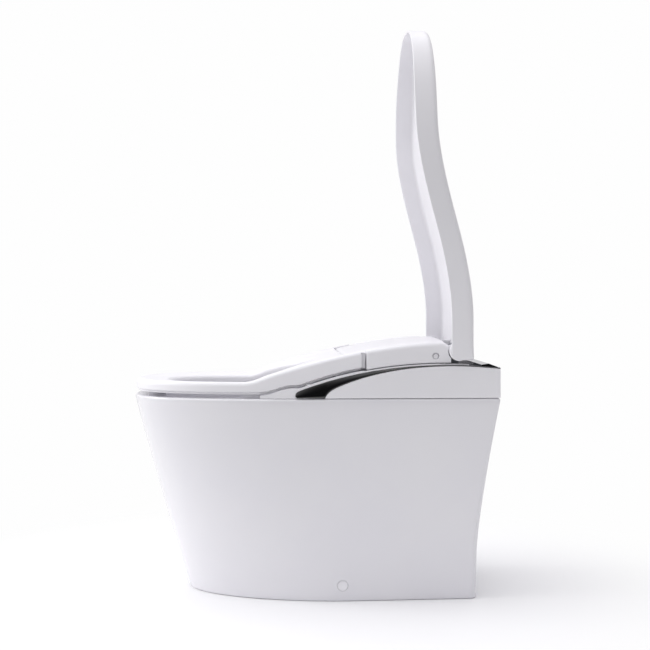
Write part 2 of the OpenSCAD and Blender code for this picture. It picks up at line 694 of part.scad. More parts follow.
// Frame whose +Z runs down and forwards along the wand, its origin at the housing's front
module along_wand() {
    translate([0, housing_front, wand_z]) rotate([90 + wand_slope, 0, 0]) children();
}
guide_gap = 0.4;
rack_w = 6;
module wand_guide() {
    outer = wand_d + 8;
    color("lightgray") along_wand() difference() {
        translate([-outer/2, -outer/2, -wand_len - 4]) cube([outer, outer, wand_len - 12]);
        translate([0, 0, -wand_len - 5]) cylinder(h = wand_len + 2, d = wand_d + 2*guide_gap);
        translate([-rack_w/2 - guide_gap, 0, -wand_len - 5]) cube([rack_w + 2*guide_gap, outer, wand_len + 2]);
        translate([-5, 0, -pinion_back - pinion_d/2 - 1]) cube([10, outer, pinion_d + 2]);
    }
}
module wash_wand() {
    color("white") along_wand() difference() {
        union() {
            translate([0, 0, -wand_len - wand_rest]) cylinder(h = wand_len, d = wand_d);
            translate([-rack_w/2, 0, -wand_len - wand_rest]) cube([rack_w, wand_d/2 + 2, wand_len - 16]);
        }
        translate([0, 0, -wand_len - wand_rest - 1]) cylinder(h = wand_len - 3, d = wand_d - 5);
    }
}
module wand_tip() {
    color("gainsboro") along_wand() translate([0, 0, -wand_rest]) difference() {
        union() {
            cylinder(h = 4, d = wand_d);
            translate([0, 0, 4]) cylinder(h = 2, d = wand_d - 3);
        }
        for (x = [-3, 0, 3]) translate([x, 0, -1]) cylinder(h = 9, d = 1.4);
    }
}
pinion_d = 16;
pinion_back = 60;
pinion_y = wand_d/2 + 2 + pinion_d/2 + 0.3;
module drive_pinion() {
    color("ivory") along_wand() translate([0, pinion_y, -pinion_back]) rotate([0, 90, 0]) difference() {
        union() {
            translate([0, 0, -4]) cylinder(h = 8, d = pinion_d - 3);
            for (a = [0:30:330]) rotate([0, 0, a]) translate([pinion_d/2 - 3, -1, -3]) cube([3, 2, 6]);
        }
        translate([0, 0, -5]) cylinder(h = 10, d = 4 + 2*pin_play);
    }
}
module wand_motor() {
    color("darkgray") along_wand() translate([0, pinion_y, -pinion_back]) rotate([0, 90, 0]) {
        translate([0, 0, -5]) cylinder(h = 18, d = 4);
        translate([0, 0, 13]) cylinder(h = 20, d = 22);
    }
}

// ---------------------------------------------------------------- dryer and deodoriser
blower_y = housing_front + 52;
module blower_case() {
    color("gray") difference() {
        union() {
            translate([flap_x, blower_y, chassis_top]) cylinder(h = 26, d = fan_d + 10);
            block(flap_x - 16, flap_x + 16, housing_front + 5, blower_y, chassis_top, chassis_top + 26);
        }
        translate([flap_x, blower_y, chassis_top + 3]) cylinder(h = 24, d = fan_d + 4);
        block(flap_x - 13, flap_x + 13, housing_front + 4, blower_y, chassis_top + 3, chassis_top + 23);
        translate([flap_x, blower_y, chassis_top - 1]) cylinder(h = 6, d = 5);
    }
    color("gray") translate([flap_x, blower_y, chassis_top]) cylinder(h = 21, d = 5);
}
module blower_wheel() {
    color("whitesmoke") translate([flap_x, blower_y, chassis_top + 4]) difference() {
        union() {
            cylinder(h = 1.6, d = fan_d);
            cylinder(h = 15, d = 14);
            for (a = [0:24:359]) rotate([0, 0, a]) translate([fan_d/2 - 10, -0.7, 0]) cube([9, 1.4, 15]);
        }
        translate([0, 0, -1]) cylinder(h = 20, d = 5 + 2*pin_play);
    }
}
module dryer_heater() {
    color("orange") for (i = [0:4])
        block(flap_x - 12, flap_x + 12, housing_front + 9 + 3*i, housing_front + 10 + 3*i, chassis_top + 3,
            chassis_top + 22.8);
}
flap_pin_z = flap_high + 1.2;
flap_pin_y = housing_front + 1.2;
module dryer_flap() {
    color("white") difference() {
        union() {
            block(flap_x - flap_w/2, flap_x + flap_w/2, housing_front, housing_front + 2, flap_low, flap_high);
            x_bar(flap_pin_y, flap_pin_z, flap_x - flap_w/2, flap_x + flap_w/2, 2.4 + 1.6);
        }
        x_bar(flap_pin_y, flap_pin_z, flap_x - flap_w/2 - 1, flap_x + flap_w/2 + 1, 1.6 + 2*pin_play);
    }
}
module flap_pin() {
    color("silver") x_bar(flap_pin_y, flap_pin_z, flap_x - flap_w/2 - 0.6, flap_x + flap_w/2 + 0.6, 1.6);
}
odour_x = -68;
odour_y = housing_front + 36;
module odour_fan_case() {
    color("gray") difference() {
        translate([odour_x, odour_y, chassis_top]) cylinder(h = 20, d = 50);
        translate([odour_x, odour_y, chassis_top + 3]) cylinder(h = 18, d = 44);
    }
    color("gray") translate([odour_x, odour_y, chassis_top]) cylinder(h = 16, d = 4);
}
module odour_fan_wheel() {
    color("whitesmoke") translate([odour_x, odour_y, chassis_top + 4]) difference() {
        union() {
            cylinder(h = 11, d = 16);
            for (a = [0:51.43:359]) rotate([0, 0, a]) translate([6, -1, 1]) cube([14, 2, 9]);
        }
        translate([0, 0, -1]) cylinder(h = 14, d = 4 + 2*pin_play);
    }
}
module odour_filter() {
    color("dimgray") translate([odour_x, odour_y, chassis_top + 20]) difference() {
        cylinder(h = 7, d = 50);
        for (x = [-15:6:15]) block(x - 1.5, x + 1.5, -16, 16, -1, 8);
    }
}

// ---------------------------------------------------------------- side buttons
module side_button(y) {
    color("whitesmoke") union() {
        x_bar(y, button_z, -half_rim, -trim_in, button_d);
        x_bar(y, button_z, -trim_in, -works_half - 1, button_d + 2);
    }
}
module flush_button() side_button(flush_y);
module power_button() side_button(power_y);
module button_springs() {
    color("silver") for (y = [flush_y, power_y]) difference() {
        x_bar(y, button_z, -works_half + button_travel + 1, -works_half + 8, 10);
        x_bar(y, button_z, -works_half, -works_half + 9, 7);
    }
}

pan_shell();
trap_pipe();
waste_connector();
floor_bracket_left();
floor_bracket_right();
bracket_screws();
fixing_caps();
chassis();
fairing_left();
fairing_right();
blade_left();
blade_right();
side_rails();
deck_plate();
rear_panel();
centre_housing();
ir_window();
hinge_block_left();
hinge_block_right();
lid_pins();
seat_pins();
pin_caps();
seat_top();
seat_base();
seat_heater();
seat_arm_left();
seat_arm_right();
arm_gaskets();
seat_bumpers();
lid_shell();
lid_hinge_left();
lid_hinge_right();
lid_bumpers();
chassis_screws();
flush_tank();
flush_pump();
control_board();
power_supply();
water_heater();
inlet_valve();
water_inlet();
cable_gland();
wand_guide();
wash_wand();
wand_tip();
drive_pinion();
wand_motor();
blower_case();
blower_wheel();
dryer_heater();
dryer_flap();
flap_pin();
odour_filter();
odour_fan_case();
odour_fan_wheel();
flush_button();
power_button();
button_springs();
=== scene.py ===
"""Looks of the one-piece electric bidet toilet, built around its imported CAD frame."""

import json  # noqa: E402
import logging  # noqa: E402
import math  # noqa: E402
from collections.abc import Callable, Sequence  # noqa: E402
from dataclasses import dataclass, field  # noqa: E402
from enum import Enum  # noqa: E402

import bmesh  # noqa: E402
import bpy  # noqa: E402
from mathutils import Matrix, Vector  # noqa: E402

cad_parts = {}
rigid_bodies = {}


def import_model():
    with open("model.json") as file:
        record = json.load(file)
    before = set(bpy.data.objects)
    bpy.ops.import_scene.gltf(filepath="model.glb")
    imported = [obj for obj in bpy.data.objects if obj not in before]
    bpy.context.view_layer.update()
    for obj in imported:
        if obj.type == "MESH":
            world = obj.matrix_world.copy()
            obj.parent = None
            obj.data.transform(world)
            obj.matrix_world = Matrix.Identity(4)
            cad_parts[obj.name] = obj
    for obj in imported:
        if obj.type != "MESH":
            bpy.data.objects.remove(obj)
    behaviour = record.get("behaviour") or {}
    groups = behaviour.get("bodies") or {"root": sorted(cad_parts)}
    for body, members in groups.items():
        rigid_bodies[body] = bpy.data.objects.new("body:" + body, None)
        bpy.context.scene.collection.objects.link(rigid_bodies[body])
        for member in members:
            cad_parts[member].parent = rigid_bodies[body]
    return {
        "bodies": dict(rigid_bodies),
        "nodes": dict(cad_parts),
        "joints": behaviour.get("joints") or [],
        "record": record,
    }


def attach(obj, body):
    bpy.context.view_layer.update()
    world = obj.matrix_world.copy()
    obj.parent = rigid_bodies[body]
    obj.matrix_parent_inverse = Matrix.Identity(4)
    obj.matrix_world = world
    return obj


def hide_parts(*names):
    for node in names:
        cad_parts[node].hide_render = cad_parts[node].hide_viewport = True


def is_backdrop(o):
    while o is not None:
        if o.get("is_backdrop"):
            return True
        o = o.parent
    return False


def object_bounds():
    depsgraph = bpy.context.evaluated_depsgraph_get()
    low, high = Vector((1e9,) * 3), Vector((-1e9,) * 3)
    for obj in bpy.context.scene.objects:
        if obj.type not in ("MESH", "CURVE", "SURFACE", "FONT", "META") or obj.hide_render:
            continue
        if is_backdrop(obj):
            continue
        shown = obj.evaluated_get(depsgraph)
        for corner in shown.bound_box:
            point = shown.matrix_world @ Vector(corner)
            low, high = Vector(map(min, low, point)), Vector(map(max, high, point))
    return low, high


LOG = logging.getLogger("bidet")
MM = 0.001
Point = tuple[float, float, float]
Ring = list[Point]
Piece = bpy.types.Object
Material = bpy.types.Material


# ---------------------------------------------------------------- shared curves
def clamp(value: float, low: float = 0.0, high: float = 1.0) -> float:
    """Value held between low and high."""
    return min(high, max(low, value))


def smooth01(value: float) -> float:
    """Smooth step from 0 to 1."""
    u = clamp(value)
    return u * u * (3 - 2 * u)


def spow(value: float, power: float) -> float:
    """Power that keeps the sign."""
    return math.copysign(abs(value) ** power, value)


@dataclass(frozen=True)
class Stations:
    """Heights and lengths, in millimetres, that several sub-assemblies share."""

    front: float = -350.0
    rear: float = 350.0
    rim: float = 385.0
    half_rim: float = 184.0
    seat_half: float = 178.0
    seat_front: float = -347.0
    seat_nose: float = 297.0
    seat_under: float = 393.0
    seat_flat: float = 416.0
    ring_end: float = 88.0
    arm_front: float = 95.0
    kick_start: float = -125.0
    kick_end: float = 245.0
    blade_tip: float = -36.0
    blade_peak: float = 266.0
    fair_tip: float = 20.0
    lid_y: float = 270.0
    lid_z: float = 473.0
    seat_y: float = 227.5
    seat_z: float = 464.5

    def blade_top(self, y: float) -> float:
        """Height of the black blade's upper edge."""
        t = clamp((y - self.blade_tip - 8) / (self.blade_peak - self.blade_tip - 8))
        return self.rim + 15 + 47.5 * (1 - (1 - t) ** 2.3) - self.fall_back(y)

    def fair_top(self, y: float) -> float:
        """Height of the white side panel's upper edge."""
        t = clamp((y - self.fair_tip) / (self.blade_peak - self.fair_tip))
        return self.rim + 11 + 50.6 * (1 - (1 - t) ** 2.35) - self.fall_back(y)

    def fall_back(self, y: float) -> float:
        """Drop of the trim behind its highest place."""
        return 5 * max(0.0, (y - self.blade_peak) / 80) ** 1.5

    def top_z(self, y: float) -> float:
        """Height of the seat's upper edge, which runs on over arms and housing."""
        t = clamp((y - self.kick_start) / (self.kick_end - self.kick_start))
        return self.seat_flat + 75 * (1 - (1 - t) ** 1.7) * smooth01((y - self.kick_start + 25) / 60)

    def under_z(self, y: float) -> float:
        """Height of the seat's underside."""
        rise = self.blade_top(y) + 6 - self.seat_under
        return self.seat_under + rise * smooth01((y - self.blade_tip + 64) / 60)


AT = Stations()


def toward(x: float, y: float, half: float, length: float, power: float) -> tuple[float, float]:
    """Point of a rounded oval about the origin, in the direction of the given point."""
    angle = math.atan2(y, x)
    c, s = math.cos(angle), math.sin(angle)
    r = (abs(c / half) ** power + abs(s / length) ** power) ** (-1 / power)
    return r * c, r * s


def turn(start: float, end: float, steps: int) -> list[float]:
    """Angles in radians from start to end degrees, both included."""
    return [math.radians(start + (end - start) * i / steps) for i in range(steps + 1)]


def spread(start: float, end: float, steps: int) -> list[float]:
    """Even values from start to end, both included."""
    return [start + (end - start) * i / steps for i in range(steps + 1)]


def arc(x: float, z: float, radius: float, start: float, end: float, steps: int) -> list[tuple[float, float]]:
    """Points of an arc about a middle, from start to end degrees."""
    return [(x + radius * math.cos(a), z + radius * math.sin(a)) for a in turn(start, end, steps)]


# ---------------------------------------------------------------- modelling helpers
def nothing_selected() -> None:
    """Leaves edit mode and clears the selection."""
    if bpy.context.object is not None and bpy.context.object.mode != "OBJECT":
        bpy.ops.object.mode_set(mode="OBJECT")
    bpy.ops.object.select_all(action="DESELECT")


class End(Enum):
    """How a grown skin ends."""

    CAP = "cap"
    POLE = "pole"
    JOIN = "join"


def grow_skin(name: str, rings: Sequence[Ring], start: End = End.CAP, end: End = End.CAP) -> Piece:
    """Grows a closed skin from a primitive circle, one extruded loop for each outline.

    Args:
        name: Name of the new piece.
        rings: Outlines in millimetres, each with the same number of points.
        start: How the first outline is closed.
        end: How the last outline is closed.

    Returns:
        The new object, with its place in its mesh.
    """
    nothing_selected()
    count = len(rings[0])
    bpy.ops.mesh.primitive_circle_add(vertices=count, radius=0.1, fill_type="NOTHING")
    obj = bpy.context.object
    obj.name = name
    obj.data.name = name
    bpy.ops.object.mode_set(mode="EDIT")
    bpy.ops.mesh.select_mode(type="EDGE")
    mesh = bmesh.from_edit_mesh(obj.data)
    station = mesh.verts.layers.int.new("station")
    for index, vert in enumerate(mesh.verts):
        vert[station] = index
        vert.co = Vector(rings[0][index]) * MM
    bmesh.update_edit_mesh(obj.data)
    close_loop(start)
    bpy.ops.mesh.select_all(action="SELECT")
    if start is End.CAP:
        bpy.ops.mesh.region_to_loop()
    elif start is End.POLE:
        select_rim(obj)
    for ring in rings[1:]:
        bpy.ops.mesh.extrude_edges_move()
        mesh = bmesh.from_edit_mesh(obj.data)
        station = mesh.verts.layers.int["station"]
        for vert in mesh.verts:
            if vert.select:
                vert.co = Vector(ring[vert[station]]) * MM
        bmesh.update_edit_mesh(obj.data)
    close_loop(end)
    bpy.ops.mesh.select_all(action="SELECT")
    bpy.ops.mesh.remove_doubles(threshold=1e-6)
    bpy.ops.mesh.normals_make_consistent(inside=False)
    bpy.ops.object.mode_set(mode="OBJECT")
    if "station" in obj.data.attributes:
        obj.data.attributes.remove(obj.data.attributes["station"])
    return obj


def close_loop(kind: End) -> None:
    """Closes the selected loop with a face or with a fan of triangles to its middle."""
    if kind is End.JOIN:
        return
    bpy.ops.mesh.edge_face_add()
    if kind is End.POLE:
        bpy.ops.mesh.select_mode(type="FACE")
        bpy.ops.mesh.poke()
        bpy.ops.mesh.select_mode(type="EDGE")


def select_rim(obj: Piece) -> None:
    """Selects only the edges that have a single face."""
    mesh = bmesh.from_edit_mesh(obj.data)
    for edge in mesh.edges:
        edge.select_set(False)
    for edge in mesh.edges:
        if len(edge.link_faces) == 1:
            edge.select_set(True)
    mesh.select_flush_mode()
    bmesh.update_edit_mesh(obj.data)


def cut(obj: Piece, cutters: Sequence[Piece]) -> None:
    """Takes each cutter out of the piece and removes the cutter."""
    for cutter in cutters:
        nothing_selected()
        bpy.context.view_layer.objects.active = obj
        obj.select_set(True)
        wedge = obj.modifiers.new("cut", "BOOLEAN")
        wedge.operation = "DIFFERENCE"
        wedge.solver = "EXACT"
        wedge.object = cutter
        bpy.ops.object.modifier_apply(modifier=wedge.name)
        bpy.data.objects.remove(cutter, do_unlink=True)


def shade(obj: Piece, angle: float = 32.0) -> None:
    """Shades the piece smoothly across angles below the given degrees."""
    nothing_selected()
    bpy.context.view_layer.objects.active = obj
    obj.select_set(True)
    bpy.ops.object.shade_smooth_by_angle(angle=math.radians(angle))


def rod(name: str, start: Point, end: Point, diameter: float, sides: int = 48) -> Piece:
    """A round bar between two points, in millimetres.

    Args:
        name: Name of the bar.
        start: Middle of one end.
        end: Middle of the other end.
        diameter: Its diameter.
        sides: Facets around it.

    Returns:
        The bar, with its place in its mesh.
    """
    nothing_selected()
    a, b = Vector(start) * MM, Vector(end) * MM
    along = b - a
    bpy.ops.mesh.primitive_cylinder_add(
        vertices=sides, radius=diameter / 2 * MM, depth=along.length, location=(a + b) / 2,
        rotation=along.to_track_quat("Z", "Y").to_euler(),
    )
    obj = bpy.context.object
    obj.name = name
    bpy.ops.object.transform_apply(location=True, rotation=True, scale=True)
    return obj


def disc(
    name: str, profile: Sequence[tuple[float, float]], y: float, z: float, angles: Sequence[float], smooth: float = 32.0
) -> Piece:
    """Grows a stepped disc about an axis that runs across the object.

    Args:
        name: Name of the disc.
        profile: Place across the object and radius of each of its outlines.
        y: Place of its axis along the object.
        z: Height of its axis.
        angles: Directions of its corners.
        smooth: Shading angle in degrees.

    Returns:
        The disc.
    """
    obj = grow_skin(name, [
        [(x, y + radius * math.cos(a), z + radius * math.sin(a)) for a in angles] for x, radius in profile
    ])
    shade(obj, smooth)
    return obj


def brick(name: str, low: Point, high: Point) -> Piece:
    """A block between two corners, in millimetres."""
    nothing_selected()
    a, b = Vector(low) * MM, Vector(high) * MM
    bpy.ops.mesh.primitive_cube_add(size=1, location=(a + b) / 2, scale=b - a)
    obj = bpy.context.object
    obj.name = name
    bpy.ops.object.transform_apply(location=True, rotation=True, scale=True)
    return obj


def mirrored(obj: Piece, name: str) -> Piece:
    """A copy on the other side, with its own mesh and its faces outwards."""
    nothing_selected()
    twin = obj.copy()
    twin.data = obj.data.copy()
    twin.name = name
    bpy.context.collection.objects.link(twin)
    bpy.context.view_layer.objects.active = twin
    twin.select_set(True)
    bpy.ops.object.mode_set(mode="EDIT")
    bpy.ops.mesh.select_all(action="SELECT")
    bpy.ops.transform.resize(value=(-1, 1, 1), center_override=(0, 0, 0))
    bpy.ops.mesh.normals_make_consistent(inside=False)
    bpy.ops.object.mode_set(mode="OBJECT")
    return twin


def settle(obj: Piece, body: str, finish: Material, slot: str, *nodes: str) -> None:
    """Dresses a finished piece and ties it to its CAD body.

    Args:
        obj: The piece.
        body: CAD body that it rides on.
        finish: Its material.
        slot: Material slot of the record; not used.
        nodes: CAD nodes it stands for.
    """
    obj.data.materials.clear()
    obj.data.materials.append(finish)
    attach(obj, body)
    if nodes:
        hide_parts(*nodes)
    LOG.info("%s: %d faces", obj.name, len(obj.data.polygons))


def settle_pair(
    right: Piece, left_name: str, body: str, finish: Material, slot: str,
    right_nodes: Sequence[str] = (), left_nodes: Sequence[str] = (),
) -> None:
    """Dresses a right-hand piece and its mirror image; each side names the CAD nodes it stands for."""
    left = mirrored(right, left_name)
    settle(right, body, finish, slot, *right_nodes)
    settle(left, body, finish, slot, *left_nodes)


# ---------------------------------------------------------------- finishes
def linear(code: str) -> tuple[float, float, float, float]:
    """Linear colour of an sRGB hex code.

    Args:
        code: Six hex digits.

    Returns:
        Red, green, blue and an alpha of one.
    """
    parts = [int(code[i : i + 2], 16) / 255 for i in (0, 2, 4)]
    red, green, blue = (c / 12.92 if c <= 0.04045 else ((c + 0.055) / 1.055) ** 2.4 for c in parts)
    return red, green, blue, 1.0


def add_node(
    tree: bpy.types.NodeTree, kind: str, links: dict[str, bpy.types.NodeSocket] | None = None, **settings: object
) -> bpy.types.Node:
    """Adds a node with its settings and links.

    Args:
        tree: Node tree that gets it.
        kind: Blender's name of the node type.
        links: Output sockets by the name of the input they feed.
        settings: Properties, or input values by name with spaces written as underscores.

    Returns:
        The new node.
    """
    node = tree.nodes.new(kind)
    for key, value in settings.items():
        if hasattr(node, key):
            setattr(node, key, value)
        else:
            node.inputs[key.replace("_", " ")].default_value = value
    for key, socket in (links or {}).items():
        tree.links.new(socket, node.inputs[int(key) if key.isdigit() else key])
    return node


class Surface(Enum):
    """How a surface was made, which picks its fine relief."""

    GLAZED = "glazed"
    MOULDED = "moulded"
    GRAINED = "grained"
    TURNED = "turned"
    CAST = "cast"


@dataclass(frozen=True)
class Finish:
    """One real material: its colours, shine and relief."""

    name: str
    colour: str
    shade_colour: str
    roughness: float
    surface: Surface
    relief_mm: float
    relief: float
    metallic: float = 0.0
    coat: float = 0.0
    ior: float = 1.5
    patch_mm: float = 60.0
    rough_spread: float = 0.015

    def build(self) -> Material:
        """Makes the material.

        Returns:
            The finished material, whose patterns read Object coordinates.
        """
        made = bpy.data.materials.new(self.name)
        made.use_nodes = True
        tree = made.node_tree
        tree.nodes.clear()
        place = add_node(tree, "ShaderNodeTexCoord").outputs["Object"]
        # slow drift of tone, as in any real pour or moulding
        drift = add_node(
            tree, "ShaderNodeTexNoise", {"Vector": place}, Scale=1 / (self.patch_mm * MM), Detail=3.0, Roughness=0.55
        )
        tone = add_node(tree, "ShaderNodeValToRGB", {"Fac": drift.outputs["Fac"]})
        tone.color_ramp.elements[0].position = 0.35
        tone.color_ramp.elements[0].color = linear(self.shade_colour)
        tone.color_ramp.elements[1].position = 0.65
        tone.color_ramp.elements[1].color = linear(self.colour)
        worn = add_node(
            tree, "ShaderNodeMapRange", {"Value": drift.outputs["Fac"]},
            From_Min=0.3, From_Max=0.7, To_Min=max(0.02, self.roughness - self.rough_spread),
            To_Max=self.roughness + self.rough_spread,
        )
        height = self.relief_height(tree, place)
        bump = add_node(tree, "ShaderNodeBump", {"Height": height}, Strength=1.0, Distance=self.relief * MM)
        shader = add_node(
            tree, "ShaderNodeBsdfPrincipled",
            {
                "Base Color": tone.outputs["Color"], "Roughness": worn.outputs["Result"],
                "Normal": bump.outputs["Normal"],
            },
            Metallic=self.metallic, Coat_Weight=self.coat, Coat_Roughness=0.04,
        )
        if self.metallic < 0.5:
            shader.inputs["IOR"].default_value = self.ior
        add_node(tree, "ShaderNodeOutputMaterial", {"Surface": shader.outputs["BSDF"]})
        return made

    def relief_height(self, tree: bpy.types.NodeTree, place: bpy.types.NodeSocket) -> bpy.types.NodeSocket:
        """Height pattern of the surface.

        Args:
            tree: Node tree of the material.
            place: Object coordinates.

        Returns:
            The socket that gives the height.
        """
        scale = 1 / (self.relief_mm * MM)
        if self.surface is Surface.TURNED:
            rings = add_node(
                tree, "ShaderNodeTexWave", {"Vector": place}, bands_direction="X", Scale=scale / 6.28, Distortion=1.5,
                Detail=2.0,
            )
            return rings.outputs["Fac"]
        if self.surface is Surface.GRAINED:
            cells = add_node(tree, "ShaderNodeTexVoronoi", {"Vector": place}, feature="SMOOTH_F1", Scale=scale)
            return cells.outputs["Distance"]
        detail = {Surface.GLAZED: 1.0, Surface.MOULDED: 4.0, Surface.CAST: 6.0}[self.surface]
        ripple = add_node(tree, "ShaderNodeTexNoise", {"Vector": place}, Scale=scale, Detail=detail, Roughness=0.5)
        return ripple.outputs["Fac"]


# Vitreous china under a fired glaze: a hard clear gloss with a very slow ripple
CHINA = Finish("glazed_vitreous_china", "E8E7EB", "E6E5EA", 0.2, Surface.GLAZED, 120, 0.03, coat=0.4, patch_mm=170)
# Injection-moulded ABS covers: even white with a soft sheen
ABS_WHITE = Finish("gloss_white_abs", "EEEDF1", "ECEBEF", 0.3, Surface.GRAINED, 0.9, 0.002, coat=0.1, patch_mm=130)
# Moulded polypropylene of seat and lid: a touch softer sheen than the covers
SEAT_PP = Finish(
    "moulded_seat_polypropylene", "F0EFF3", "EEEDF1", 0.33, Surface.GRAINED, 0.9, 0.002, coat=0.1, patch_mm=140
)
# Piano-black acrylic-topped ABS: deep black with a mirror-like skin
PIANO_BLACK = Finish(
    "piano_black_acrylic", "0B0B0D", "08080A", 0.07, Surface.GLAZED, 80, 0.01, coat=1.0, patch_mm=90, rough_spread=0.02
)
# Tinted polycarbonate window of the presence sensor
LENS = Finish(
    "tinted_polycarbonate", "1A1216", "150E12", 0.08, Surface.GLAZED, 30, 0.01, patch_mm=30, rough_spread=0.02
)
# Glass-filled nylon of the works: grey and finely grained
NYLON_GREY = Finish("glass_filled_nylon", "8C8E92", "7F8185", 0.5, Surface.GRAINED, 1.2, 0.05, patch_mm=40)
# Roto-moulded polyethylene of the flush tank: milky and a little waxy
TANK_PE = Finish("moulded_polyethylene", "D5DEE2", "C8D2D8", 0.42, Surface.MOULDED, 12, 0.12, patch_mm=50)
# EPDM rubber of flange and feet: matt dark grey
EPDM = Finish("epdm_rubber", "3A3A3C", "303032", 0.72, Surface.GRAINED, 1.6, 0.06, patch_mm=25)
# Silicone pads in the seat's joints and feet: soft light grey
SILICONE = Finish("grey_silicone", "DAD9DE", "D2D1D6", 0.55, Surface.MOULDED, 6, 0.03, patch_mm=25)
# Silicone feet under the seat: nearly white
SILICONE_WHITE = Finish("white_silicone", "E4E3E8", "DEDDE2", 0.5, Surface.MOULDED, 6, 0.01, patch_mm=25)
# Zinc-plated and stainless steel of pins, screws and brackets
STEEL = Finish(
    "turned_stainless_steel", "C4C6C9", "AEB0B4", 0.28, Surface.TURNED, 0.5, 0.01, metallic=1.0, patch_mm=20
)
# Die-cast zinc of the hinge carriers
ZINC = Finish("die_cast_zinc", "9FA2A6", "8C8F94", 0.45, Surface.CAST, 2.5, 0.05, metallic=1.0, patch_mm=20)
# Machined brass of the water inlet
BRASS = Finish("machined_brass", "C9A662", "B38F4C", 0.25, Surface.TURNED, 0.6, 0.02, metallic=1.0, patch_mm=15)
# Solder mask over glass-fibre board
BOARD = Finish("green_solder_mask", "1E6B3C", "175730", 0.35, Surface.GRAINED, 1.0, 0.03, patch_mm=18)
# Etched foil and ceramic of the heaters
FOIL = Finish("etched_heater_foil", "C27A3C", "A9662F", 0.38, Surface.TURNED, 1.5, 0.03, metallic=0.6, patch_mm=12)


